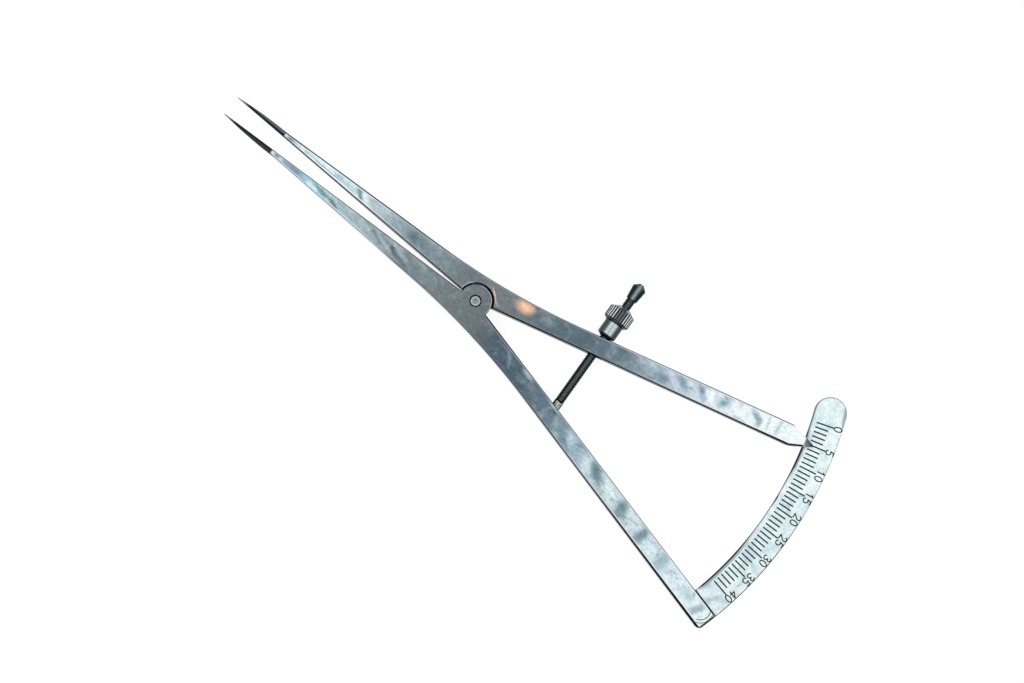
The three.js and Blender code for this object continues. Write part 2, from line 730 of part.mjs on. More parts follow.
function rodEndStop() {
  const bore = SPIGOT_RADIUS + SPIGOT_CLEARANCE;
  const depth = SPIGOT_LENGTH + SPIGOT_CLEARANCE;
  const profile = [
    [0, depth],
    [bore, depth],
    [bore, 0],
    [STOP_START_RADIUS, 0],
    [STOP_RADIUS, STOP_FLARE_LENGTH],
    [STOP_END_RADIUS, STOP_FLARE_LENGTH + STOP_BEVEL_LENGTH],
    [0, STOP_FLARE_LENGTH + STOP_BEVEL_LENGTH],
  ];
  return solid(laidDown(turned(profile, SMALL_SEGMENTS)));
}

function rodHingePin() {
  return solid(roundBar(PIN_RADIUS, 0, ARM_THICKNESS, SMALL_SEGMENTS));
}

// Nut and washer

// The head's toothed outline: flat crests and narrow flat roots
function knurlOutline() {
  const pitch = (2 * Math.PI) / KNURL_TEETH;
  const root = HEAD_RADIUS - KNURL_DEPTH;
  const crestHalf = KNURL_CREST_SHARE / 2;
  const rootHalf = KNURL_ROOT_SHARE / 2;
  const tooth = [
    [-crestHalf, HEAD_RADIUS],
    [crestHalf, HEAD_RADIUS],
    [KNURL_ROOT_PLACE - rootHalf, root],
    [KNURL_ROOT_PLACE + rootHalf, root],
  ];
  const points = [];
  for (let index = 0; index < KNURL_TEETH; index++) {
    for (const [share, radius] of tooth) {
      const angle = (index + share) * pitch;
      points.push(new THREE.Vector2(radius * Math.cos(angle), radius * Math.sin(angle)));
    }
  }
  return points;
}

function nutHead() {
  const foot = COLLAR_HEIGHT + HEAD_FOOT_BEVEL;
  const envelope = turned(
    [
      [0, COLLAR_HEIGHT],
      [HEAD_FOOT_RADIUS, COLLAR_HEIGHT],
      [HEAD_RADIUS + KNURL_DEPTH, foot + headRise()],
      [HEAD_RADIUS + KNURL_DEPTH, foot + HEAD_STRAIGHT - coneRise()],
      [HEAD_TOP_RADIUS, NUT_HEIGHT],
      [0, NUT_HEIGHT],
    ],
    FINE_SEGMENTS,
  );
  return solid(prism(knurlOutline(), COLLAR_HEIGHT, NUT_HEIGHT)).intersect(solid(envelope));
}

// How far the foot bevel and the top cone, both aimed at the crests, are carried past them
function headRise() {
  return (KNURL_DEPTH * HEAD_FOOT_BEVEL) / (HEAD_RADIUS - HEAD_FOOT_RADIUS);
}

function coneRise() {
  return (KNURL_DEPTH * HEAD_CONE_HEIGHT) / (HEAD_RADIUS - HEAD_TOP_RADIUS);
}

function thumbNut() {
  const collar = turned(
    [
      [0, 0],
      [COLLAR_RADIUS - COLLAR_BEVEL, 0],
      [COLLAR_RADIUS, COLLAR_BEVEL],
      [COLLAR_RADIUS, COLLAR_HEIGHT + HEAD_FOOT_BEVEL],
      [0, COLLAR_HEIGHT + HEAD_FOOT_BEVEL],
    ],
    FINE_SEGMENTS,
  );
  const bore = roundBar(ROD_BORE_RADIUS, -CUT_OVERRUN, NUT_HEIGHT + CUT_OVERRUN, SMALL_SEGMENTS);
  const upright = nutHead().add(solid(collar)).subtract(solid(bore));
  return solid(laidDown(geometryOf(upright)));
}

function seatWasher() {
  const profile = [
    [ROD_BORE_RADIUS, 0],
    [WASHER_RADIUS - WASHER_BEVEL, 0],
    [WASHER_RADIUS, WASHER_BEVEL],
    [WASHER_RADIUS, WASHER_THICKNESS],
    [ROD_BORE_RADIUS, WASHER_THICKNESS],
    [ROD_BORE_RADIUS, 0],
  ];
  return solid(laidDown(turned(profile, SMALL_SEGMENTS)));
}

// Materials

function metal(name, color, roughness) {
  return new THREE.MeshStandardMaterial({ name, color, roughness, metalness: 1 });
}

const satinSteel = (name) => metal(name, 0x9fb0b8, 0.34);
const paleSteel = (name) => metal(name, 0xd9e6ea, 0.3);
const turnedSteel = (name) => metal(name, 0x8b979c, 0.3);
const blackenedSteel = (name) => metal(name, 0x1c2124, 0.45);
const gunmetal = (name) => metal(name, 0x3a4144, 0.35);

// Assembly

// What lies along the rod, in a group that has the rod's axis as its X axis
function screwGroup() {
  const group = new THREE.Group();
  group.position.set(PIN_POINT.x, PIN_POINT.y, MID_HEIGHT);
  group.rotation.z = radians(ROD_ANGLE);
  const rod = node("threaded_rod", threadedRod(), blackenedSteel("blackened rod"));
  const stop = node("rod_end_stop", rodEndStop(), gunmetal("gunmetal stop"));
  stop.position.x = ROD_LENGTH + STOP_SEAT_GAP;
  const nut = node("thumb_nut", thumbNut(), turnedSteel("turned steel nut"));
  nut.position.x = NUT_SEAT;
  const washer = node("seat_washer", seatWasher(), blackenedSteel("blackened washer"));
  washer.position.x = NUT_SEAT - WASHER_GAP - WASHER_THICKNESS;
  group.add(rod, stop, nut, washer);
  return group;
}

function caliper() {
  const group = new THREE.Group();
  const pin = node("rod_hinge_pin", rodHingePin(), satinSteel("steel pin"));
  pin.position.set(PIN_POINT.x, PIN_POINT.y, 0);
  group.add(
    node("scale_arm", scaleArm(), satinSteel("satin steel scale arm")),
    node("pointer_arm", pointerArm(), satinSteel("satin steel pointer arm")),
    node("pivot_rivet", pivotRivet(), turnedSteel("steel rivet")),
    node("scale_plate", scalePlate(), paleSteel("pale steel plate")),
    pin,
    screwGroup(),
  );
  return group;
}

export default caliper();
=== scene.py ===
# The looks of a surgical caliper: satin steel, engraved scale, cut thread, light and camera.
# Lengths are metres in the part's own frame. The origin is the pivot, on the underside of the
# joint. +Y runs to the needle points, +X to the side of the pointer arm, and +Z up.
import json
from math import asin, atan, atan2, cos, pi, radians, sin

import bmesh
import bpy
from mathutils import Matrix, Vector


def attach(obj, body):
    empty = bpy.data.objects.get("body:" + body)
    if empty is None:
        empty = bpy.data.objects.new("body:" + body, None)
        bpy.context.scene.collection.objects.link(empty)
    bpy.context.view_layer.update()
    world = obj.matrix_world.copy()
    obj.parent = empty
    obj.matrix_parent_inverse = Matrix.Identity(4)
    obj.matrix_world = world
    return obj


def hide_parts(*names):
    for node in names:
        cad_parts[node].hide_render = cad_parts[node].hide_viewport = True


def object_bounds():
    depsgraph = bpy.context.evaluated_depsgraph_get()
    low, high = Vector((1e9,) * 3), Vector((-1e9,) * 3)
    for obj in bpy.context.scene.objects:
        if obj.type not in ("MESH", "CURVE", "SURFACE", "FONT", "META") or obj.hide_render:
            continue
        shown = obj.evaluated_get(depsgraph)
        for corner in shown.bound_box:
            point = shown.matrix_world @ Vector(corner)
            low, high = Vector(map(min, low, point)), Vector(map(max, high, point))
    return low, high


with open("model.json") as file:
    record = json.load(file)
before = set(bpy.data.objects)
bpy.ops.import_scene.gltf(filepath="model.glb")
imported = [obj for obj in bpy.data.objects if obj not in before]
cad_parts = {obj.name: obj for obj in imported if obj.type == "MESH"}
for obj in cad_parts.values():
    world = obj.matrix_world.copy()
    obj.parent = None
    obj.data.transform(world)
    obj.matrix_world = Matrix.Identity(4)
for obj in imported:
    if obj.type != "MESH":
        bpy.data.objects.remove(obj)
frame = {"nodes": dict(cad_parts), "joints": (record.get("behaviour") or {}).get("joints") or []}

MM = 0.001


def mm(*sizes):
    return tuple(size * MM for size in sizes)


CAD_BOX = [list(corner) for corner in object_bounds()]
NODES = frame["nodes"]
JOINTS = {joint["name"]: joint for joint in frame["joints"]}

# Sizes shared with the solids
TIP_RADIUS = 77 * MM
PLATE_CENTRE_X = -1.85 * MM
PLATE_INNER_RADIUS = 88.7 * MM
PLATE_OUTER_RADIUS = 96.9 * MM
PLATE_TOP = 2.0 * MM
PLATE_END_RADIUS = (PLATE_OUTER_RADIUS - PLATE_INNER_RADIUS) / 2
PLATE_END_ANGLE = radians(22.39)
PLATE_ONWARD = Vector((cos(PLATE_END_ANGLE), sin(PLATE_END_ANGLE)))
PLATE_OUTWARD = Vector((PLATE_ONWARD.y, -PLATE_ONWARD.x))
PLATE_END = Vector((PLATE_CENTRE_X, 0)) + PLATE_OUTWARD * (PLATE_INNER_RADIUS + PLATE_END_RADIUS)
ROD_RADIUS = 1.2 * MM
SPIGOT_RADIUS = 0.9 * MM
SPIGOT_LENGTH = 1.9 * MM
TONGUE_WIDTH = 2.3 * MM
TONGUE_THICKNESS = 1.3 * MM
TONGUE_HOLE_RADIUS = 0.76 * MM
TONGUE_CHAMFER = 0.15 * MM
NUT_MOUTH = 23.8 * MM
HEAD_START = 27.33 * MM

# Where the rod lies
PIN = Vector(JOINTS["rod_swing"]["pos_m"])
ROD_AXIS = Vector(JOINTS["nut_travel"]["axis"]).normalized()
ROD_ANGLE = atan2(ROD_AXIS.y, ROD_AXIS.x)
ROD_FRAME = Matrix.Translation(PIN) @ Matrix.Rotation(ROD_ANGLE, 4, "Z")
ROD_SIDE = Vector((-ROD_AXIS.y, ROD_AXIS.x, 0))

# The photo's camera, which also says what a pixel of the photo shows
PHOTO_SIZE = (1024, 683)
IMAGE_UP = Vector((0.7808, 0.6247, 0))
CAMERA_AIM = Vector((-2.009, -13.224, 1.8)) * MM
CAMERA_DISTANCE = 0.7
CAMERA_LEAN = radians(5.5)
CAMERA_ROLL = -0.0008
CAMERA_LENS = 100.03
CAMERA_SENSOR = 36
CAMERA_BACK = Vector((-sin(CAMERA_LEAN), 0, cos(CAMERA_LEAN)))
CAMERA_RIGHT = (Matrix.Rotation(CAMERA_ROLL, 3, "Z") @ IMAGE_UP).cross(CAMERA_BACK).normalized()
CAMERA_UP = CAMERA_BACK.cross(CAMERA_RIGHT)
CAMERA_PLACE = CAMERA_AIM + CAMERA_BACK * CAMERA_DISTANCE
PIXELS_AT_ONE_METRE = CAMERA_LENS / CAMERA_SENSOR * PHOTO_SIZE[0]
PIXELS_PER_METRE = PIXELS_AT_ONE_METRE / CAMERA_DISTANCE
# The height at which the photo's places are taken, near the arms' top face all along them
PHOTO_HEIGHT = 3.4 * MM


def from_photo(u, v):
    """The place on the arms that a pixel of the photo shows."""
    aside = (u - PHOTO_SIZE[0] / 2) / PIXELS_AT_ONE_METRE
    above = (PHOTO_SIZE[1] / 2 - v) / PIXELS_AT_ONE_METRE
    ray = CAMERA_RIGHT * aside + CAMERA_UP * above - CAMERA_BACK
    return (CAMERA_PLACE + ray * (PHOTO_HEIGHT - CAMERA_PLACE.z) / ray.z).to_2d()


# Node trees

FULL_TONE = 255
DISPLAY_GAMMA = 2.2


def colour_of(value):
    """A socket's colour: three tones as a photo shows them, or one number as an even grey."""
    if isinstance(value, bpy.types.NodeSocket):
        return value
    if isinstance(value, tuple):
        return tuple((tone / FULL_TONE) ** DISPLAY_GAMMA for tone in value) + (1.0,)
    return (value, value, value, 1.0)


def add(tree, kind, inputs=None, **settings):
    made = tree.nodes.new("ShaderNode" + kind)
    for name, value in settings.items():
        setattr(made, name, value)
    for name, value in (inputs or {}).items():
        socket = made.inputs[name]
        if isinstance(value, bpy.types.NodeSocket):
            tree.links.new(value, socket)
        else:
            socket.default_value = value
    return made


def join(kind, inputs, **settings):
    """Adds a node to the tree that its linked inputs belong to."""
    tree = next(value.id_data for value in inputs.values() if isinstance(value, bpy.types.NodeSocket))
    return add(tree, kind, inputs, **settings)


def calc(operation, a, b=0.0):
    return join("Math", {0: a, 1: b}, operation=operation).outputs[0]


def plus(a, b):
    return calc("ADD", a, b)


def minus(a, b):
    return calc("SUBTRACT", a, b)


def times(a, b):
    return calc("MULTIPLY", a, b)


def step(value, low, high):
    """0 below low and 1 above high, smooth between; the other way round if low is over high."""
    inputs = {"Value": value, "From Min": low, "From Max": high}
    made = join("MapRange", inputs, interpolation_type="SMOOTHSTEP")
    return made.outputs["Result"]


def remap(value, from_low=0, from_high=1, to_low=0, to_high=1):
    """The value moved from one range to another, in proportion."""
    inputs = {"Value": value, "From Min": from_low, "From Max": from_high}
    inputs.update({"To Min": to_low, "To Max": to_high})
    return join("MapRange", inputs).outputs["Result"]


def between(value, rise, full, last, fall):
    """1 from full to last, and 0 before rise and past fall, all in millimetres."""
    return times(step(value, rise * MM, full * MM), step(value, fall * MM, last * MM))


def ramp(factor, stops):
    made = join("ValToRGB", {"Fac": factor})
    elements = made.color_ramp.elements
    stops = stops if len(stops) > 1 else stops * 2
    while len(elements) < len(stops):
        elements.new(0.5)
    for element, (position, value) in zip(elements, stops):
        element.position = position
        element.color = colour_of(value)
    return made.outputs["Color"]


def mix(factor, a, b, blend="MIX"):
    inputs = {0: factor, 6: colour_of(a), 7: colour_of(b)}
    return join("Mix", inputs, data_type="RGBA", blend_type=blend).outputs[2]


def noise(vector, detail, distortion=0.0):
    inputs = {"Vector": vector, "Scale": 1.0, "Detail": detail, "Distortion": distortion}
    return join("TexNoise", inputs).outputs["Fac"]


def freckled(colour, value, low, high, dark, light):
    """The colour made darker and lighter by a fine noise."""
    share = remap(value, low, high, dark, light)
    tint = join("CombineColor", {0: share, 1: share, 2: share}).outputs[0]
    return mix(1.0, colour, tint, "MULTIPLY")


def dot(a, b):
    return join("VectorMath", {0: a, 1: b}, operation="DOT_PRODUCT").outputs["Value"]


def length_of(vector):
    return join("VectorMath", {0: vector}, operation="LENGTH").outputs["Value"]


class Surface:
    """A metal material with the object's own coordinates at hand."""

    def __init__(self, name):
        self.material = bpy.data.materials.new(name)
        self.material.use_nodes = True
        self.tree = self.material.node_tree
        self.shader = self.tree.nodes["Principled BSDF"]
        self.shader.inputs["Metallic"].default_value = 1.0
        coordinates = add(self.tree, "TexCoord")
        self.place = coordinates.outputs["Object"]
        parts = join("SeparateXYZ", {0: self.place})
        self.x, self.y, self.z = (parts.outputs[i] for i in range(3))
        facing = join("SeparateXYZ", {0: coordinates.outputs["Normal"]})
        self.normal_x, self.normal_z = facing.outputs[0], facing.outputs[2]

    def link(self, output, name):
        self.tree.links.new(output, self.shader.inputs[name])

    def paint(self, colour):
        self.link(colour, "Base Color")

    def distance(self, x=0.0, y=0.0):
        """How far a point is from an upright axis."""
        inputs = {0: minus(self.x, x), 1: minus(self.y, y)}
        return length_of(join("CombineXYZ", inputs).outputs[0])

    def noise(self, scale, detail=2.0, distortion=0.0, turn=0.0):
        """Noise with a scale per metre, one for all axes or one for each, turned about Z."""
        scale = scale if isinstance(scale, tuple) else (scale, scale, scale)
        inputs = {"Vector": self.place, "Scale": scale, "Rotation": (0, 0, turn)}
        return noise(join("Mapping", inputs).outputs["Vector"], detail, distortion)

    def relief(self, lines, low, high, strength, depth):
        """Lines that show in the gloss, between two roughnesses, and as relief."""
        self.link(remap(lines, to_low=low, to_high=high), "Roughness")
        inputs = {"Height": lines, "Strength": strength, "Distance": depth}
        self.link(join("Bump", inputs).outputs["Normal"], "Normal")

    def grain(self, scale, low, high, strength, depth, turn=0.0):
        """Fine scratches from a finishing belt."""
        self.relief(self.noise(scale, 3.0, 0.0, turn), low, high, strength, depth)


# Steel of the two arms: painted reflections, dark and even round the joint and streaked in front, and
# clouds behind

# The stretch of Y that the arms' ramps cover
SPAN = mm(-98, 78)
# How the arms' edges run: distance from the middle at the pivot's line, and slope
INNER_FRONT = (0.05 * MM, 0.0325)
INNER_REAR = (0.05 * MM, -0.25)
OUTER_FRONT = (5.95 * MM, -0.0419)
OUTER_REAR = (5.0 * MM, -0.2555)
OUTER_ROUNDING = 6.38 * MM
END_RADIUS = 97.3 * MM
# How far a streak's soft edge reaches past the ends and sides that the photo shows
STREAK_END = 0.55 * MM
STREAK_EDGE = 0.14 * MM
STREAK_SPREAD = 1.2
STREAK_FADE = (1.35, 0.2)
# How far and how finely the streaks wander
WANDER = 0.8 * MM
WANDER_SCALE = 700
# Two polished arcs at the scale arm's end
ARC_CENTRE = mm(-24.55, -90.3)
ARC_RADIUS = 3.38 * MM
ARC_SHOWN = mm(-90.4, -91.2)
# The pointer's beak: the corners of its outline beside the scale, and its ground facet with the
# painted shade on it, in millimetres
BEAK_EDGE = [(20.98, -82.83), (22.65, -85.44), (24.4, -87.67)]
BEAK_FACET = [(22.4, -85.3), (24.9, -87.9), (25.3, -84.6)]
BEAK_SOFT = 0.12 * MM
BEAK_AHEAD = (0.75, -0.66, 0)
BEAK_SPAN = mm(73, 77)
BEAK_TONES = [(73.1, (176, 184, 188)), (74.2, (118, 128, 134)), (75.6, (58, 68, 74)), (76.5, (44, 54, 60))]
# How much the finishing lines turn from Y, and the upright share of a normal on a side face
GRAIN_TURN = radians(14.2)
SIDE_FACE = (0.93, 0.8)
# Where the needle starts, its dark inner side, and its bright point
NEEDLE_ROOT = mm(61.9, 62.3)
NEEDLE_INNER = mm(0.75, 0.35)
NEEDLE_POINT = mm(73.2, 76.2)
# Where the edges' lines stop, in front of the joint and behind it
FRONT_CLEAR = mm(5.2, 5.8)
REAR_CLEAR = mm(4.55, 4.7)
REAR_START = mm(0, -1)
# Rings round the pivot and heights above the underside, in millimetres as between takes them
RIVET_RING = (1.06, 1.14, 1.48, 1.56)
DISC_RING = (3.86, 3.94, 4.12, 4.2)
WALL_RING = (4.46, 4.54, 4.7, 4.86)
SUNK_HEIGHTS = (0.25, 0.3, 3.35, 3.45)
# Where the gap looks thin, and the disc and the wall catch light: a direction from the pivot in
# degrees, and the cosines of the turns off it at which this starts and is full
THIN_SIDE = (26, 0.9, 0.97)
DISC_LIT = (-42, 0.35, 0.66)
WALL_LIT = (66, 0.86, 0.97)
# Tones of the painted shade in the gap and in the ring round the rivet, of the gap's lighter stretch where
# it looks thin, and of the painted highlights on the rims
WELL_SHADE = (6, 8, 10)
THIN_TONE = (98, 105, 110)
LIT_TONE = (190, 198, 203)
RING_SHADE = (6, 9, 12)
CLOUD_TONES = ((0.75, (226, 238, 244)), (0.28, (70, 88, 100)))
# Fineness per metre across the arm, along it and through it
CLOUD_SCALE = (420, 330, 300)
GRAIN_SCALE = (2400, 700, 900)
SPECKLE_SCALE = (1300, 1500, 900)
BELT_SCALE = (500, 3200, 500)
THIN_GAP = mm(4.2, 4.28)
WELL_RADIUS = mm(4.7, 4.6)
TOP_FACE = mm(3.3, 3.4)


def along(surface, stops, value=None, span=SPAN):
    """A ramp along Y, or along another value, its stops placed in millimetres."""
    low, high = span
    share = remap(surface.y if value is None else value, low, high)
    return ramp(share, [((place * MM - low) / (high - low), tone) for place, tone in stops])


def beyond(surface, side, edge):
    """How far a point lies outside a line that runs beside the middle."""
    start, slope = edge
    line = plus(times(surface.y, slope), start)
    across = minus(times(surface.x, side), line)
    return times(across, cos(atan(slope)))


def from_inner_edge(surface, side):
    front, rear = beyond(surface, side, INNER_FRONT), beyond(surface, side, INNER_REAR)
    return calc("MINIMUM", front, rear)


def from_outer_edge(surface, side):
    front = times(beyond(surface, side, OUTER_FRONT), -1.0)
    rear = times(beyond(surface, side, OUTER_REAR), -1.0)
    return join("Math", {0: front, 1: rear, 2: OUTER_ROUNDING}, operation="SMOOTH_MAX").outputs[0]


def inside_line(surface, start, finish):
    """How far a point lies to the left of a line between two points in millimetres."""
    start, finish = Vector(start) * MM, Vector(finish) * MM
    side = (finish - start).normalized()
    rise = times(minus(surface.y, start.y), side.x)
    return minus(rise, times(minus(surface.x, start.x), side.y))


def streak(place, colour, u0, v0, u1, v1, width, tone, percent):
    """A soft stretched patch of another tone, between two places of the photo."""
    start, finish = from_photo(u0, v0), from_photo(u1, v1)
    middle, ahead = (start + finish) / 2, finish - start
    half_length = ahead.length / 2 + STREAK_END
    half_width = STREAK_SPREAD * width / 2 / PIXELS_PER_METRE + STREAK_EDGE
    inputs = {
        "Vector": place,
        "Location": (middle.x, middle.y, 0),
        "Rotation": (0, 0, atan2(ahead.y, ahead.x)),
        "Scale": (half_length, half_width, 1.0),
    }
    local = join("Mapping", inputs, vector_type="TEXTURE").outputs["Vector"]
    inside = step(length_of(local), *STREAK_FADE)
    return mix(times(inside, percent / 100), colour, tone)


def edge_line(surface, colour, distance, start, width, tone, kept, soft=0.07, value=None, span=SPAN):
    """A line of painted shade and light beside an edge, with its start, width and softness in millimetres.
    """
    soft = soft * MM

    def size_along(stops):
        return along(surface, [(place, size * MM) for place, size in stops], value, span)

    near = minus(distance, size_along(start))
    far = minus(near, size_along(width))
    inside = times(step(near, -soft, soft), step(far, soft, -soft))
    return mix(times(inside, kept), colour, along(surface, tone, value, span))


def toward(surface, from_pivot, direction, low, high):
    """1 in one direction from the pivot, given in degrees, and 0 away from it."""
    turned = radians(direction)
    ahead = plus(times(surface.x, cos(turned)), times(surface.y, sin(turned)))
    return step(calc("DIVIDE", ahead, from_pivot), low, high)


def joint_marks(surface, colour, from_pivot):
    """Painted shade in the gap round the upper disc and in the ring round the rivet, and painted highlights
    on both rims.
    """
    well = times(step(from_pivot, *WELL_RADIUS), between(surface.z, *SUNK_HEIGHTS))
    colour = mix(well, colour, WELL_SHADE)
    thin = times(toward(surface, from_pivot, *THIN_SIDE), step(from_pivot, *THIN_GAP))
    colour = mix(times(well, thin), colour, THIN_TONE)
    disc = times(between(from_pivot, *DISC_RING), toward(surface, from_pivot, *DISC_LIT))
    wall = times(between(from_pivot, *WALL_RING), toward(surface, from_pivot, *WALL_LIT))
    lit = times(calc("MAXIMUM", disc, wall), step(surface.z, *TOP_FACE))
    colour = mix(lit, colour, LIT_TONE)
    return mix(between(from_pivot, *RIVET_RING), colour, RING_SHADE)


def arm_steel(name, side, base, mottle, reflection_patches, lines, faces, needle):
    surface = Surface(name)
    turn = GRAIN_TURN * side
    shift = times(minus(surface.noise(WANDER_SCALE), 0.5), WANDER)
    offset = join("CombineXYZ", {0: shift, 1: times(shift, -0.8)}).outputs[0]
    place = join("VectorMath", {0: surface.place, 1: offset}).outputs[0]
    # Painted reflections: the base tone along Y and the patches laid over it
    colour = along(surface, base)
    for entry in reflection_patches:
        colour = streak(place, colour, *entry)

    clouds = surface.noise(CLOUD_SCALE, 4.0, 0.6, turn)
    amount = along(surface, mottle)
    for limit, tone in CLOUD_TONES:
        colour = mix(times(step(clouds, 0.5, limit), amount), colour, tone)
    grain = times(surface.noise(GRAIN_SCALE, 3.0, 0.0, turn), 0.6)
    speckle = times(surface.noise(SPECKLE_SCALE), 0.4)
    colour = freckled(colour, plus(grain, speckle), 0.35, 0.65, 0.8, 1.15)

    from_pivot = surface.distance()
    rear = times(step(from_pivot, *REAR_CLEAR), step(surface.y, *REAR_START))
    clear = calc("MAXIMUM", step(from_pivot, *FRONT_CLEAR), rear)
    inner = from_inner_edge(surface, side)
    for start, finish in zip(BEAK_EDGE, BEAK_EDGE[1:]) if side > 0 else []:
        inner = calc("MINIMUM", inner, inside_line(surface, start, finish))
    distances = {
        "inner": inner,
        "outer": from_outer_edge(surface, side),
        "end": minus(END_RADIUS, surface.distance(PLATE_CENTRE_X)),
        "arc": minus(ARC_RADIUS, surface.distance(*ARC_CENTRE)),
    }
    shown = {"arc": step(surface.y, *ARC_SHOWN)}
    # Painted shade and highlights: dark and light lines beside the edges
    for edge, start, width, tone in lines:
        colour = edge_line(surface, colour, distances[edge], start, width, tone, shown.get(edge, clear))

    dark = mix(step(inner, *NEEDLE_INNER), needle[0], needle[1])
    dark = mix(step(surface.y, *NEEDLE_POINT), dark, needle[2])
    colour = mix(step(surface.y, *NEEDLE_ROOT), colour, dark)

    # Painted shade and light on the side faces, one tone along Y for those turned inwards and one for those
    # turned outwards
    outward = step(times(surface.normal_x, side), -0.1, 0.1)
    rim = mix(outward, along(surface, faces[0]), along(surface, faces[1]))
    edge = step(calc("ABSOLUTE", surface.normal_z), *SIDE_FACE)
    colour = mix(edge, colour, rim)
    surface.paint(joint_marks(surface, colour, from_pivot))
    surface.grain(BELT_SCALE, 0.26, 0.4, 0.1, 0.015 * MM, turn)
    return surface


# Tones of the painted shade and highlight lines beside the arms' edges and on their side faces
BLACK = (10, 14, 17)
DARK_LINE = (46, 57, 62)
GREY_LINE = (112, 124, 131)
LIGHT_LINE = (196, 210, 216)
WHITE_LINE = (238, 245, 247)
# Streaks, as seen in the photo: the two ends and the width in pixels, the tone from 0 to 255,
# and the strength in percent
# Painted reflections on the arms' steel, one list for each arm
SCALE_REFLECTIONS = [
    (272, 150.6, 275.5, 154, 4.2, (208, 215, 219), 90),
    (275.5, 154.2, 279, 157.6, 3.4, (92, 106, 114), 85),
    (279.6, 157.8, 282.4, 161.4, 4, (204, 213, 218), 80),
    (282, 160.5, 304, 178.5, 8, (128, 154, 172), 85),
    (301, 175.5, 306.5, 181.5, 6, (138, 186, 214), 80),
    (305, 180.5, 320, 193.5, 6.5, (208, 238, 240), 85),
    (312, 181, 328, 197.5, 3, (100, 148, 150), 85),
    (319, 189.5, 327, 197, 4.5, (120, 158, 164), 80),
    (327.5, 196, 337.5, 209.5, 2, (100, 112, 122), 85),
    (323, 186, 337, 199.5, 3.5, (196, 214, 220), 60),
    (337, 200, 352, 220, 3.6, (142, 164, 174), 70),
    (344, 200, 359, 222, 2.8, (176, 198, 204), 60),
    (352, 212, 366, 232, 3.6, (146, 170, 174), 70),
    (364, 219, 379, 240, 3.2, (104, 120, 126), 85),
    (373, 229, 386, 249, 2.4, (118, 134, 140), 80),
    (383.5, 234.5, 398, 259, 3.6, (84, 100, 106), 95),
    (378, 235, 392, 256, 2.6, (170, 190, 192), 70),
    (392, 240, 405, 260, 2.6, (162, 178, 182), 70),
    (397, 256, 407, 270, 3.4, (92, 108, 112), 80),
    (404, 250, 419, 272, 3, (108, 126, 128), 70),
    (414, 255, 430, 275, 2.6, (150, 166, 170), 60),
    (424, 262, 438, 282, 5, (112, 126, 134), 70),
    (503.5, 346, 502, 367, 8, (80, 96, 116), 60),
    (492.5, 351.6, 494.1, 351.2, 0.65, (52, 50, 58), 90),
    (510, 351.5, 508, 367, 3, (124, 146, 158), 60),
    (524.3, 369.6, 532.2, 380.9, 4.4, (174, 194, 194), 80),
    (526, 384, 535, 390, 7, (132, 142, 152), 60),
    (549, 400.5, 557.5, 411.5, 1.8, (186, 210, 214), 85),
    (554.2, 412.8, 555.4, 414.2, 1.4, (58, 66, 76), 95),
    (557.5, 414, 554, 429, 6, (154, 174, 180), 80),
    (572.5, 432, 571.5, 448, 9, (180, 204, 212), 85),
    (564, 436, 561, 448, 5, (116, 142, 158), 70),
    (591.6, 456.9, 582.4, 473.1, 10.5, (212, 230, 236), 90),
    (592.9, 460.4, 600.2, 489.6, 10, (108, 136, 148), 90),
    (604.4, 480.4, 612.6, 501.6, 11.4, (226, 242, 243), 90),
    (612, 520.1, 630.5, 498.4, 11.4, (116, 142, 154), 92),
    (628.5, 512.3, 640.5, 529.7, 9.8, (216, 231, 234), 85),
    (631.6, 543.2, 651.9, 526.8, 9.8, (122, 146, 158), 92),
    (645, 541, 657, 558, 9, (218, 238, 244), 90),
    (652.2, 570.8, 671.8, 551.2, 12.2, (150, 176, 188), 85),
    (672, 569, 684, 586, 10, (216, 236, 242), 85),
    (683, 590, 690, 598, 8, (182, 206, 220), 75),
    (689, 613.5, 706, 605, 6.9, (150, 178, 190), 85),
]
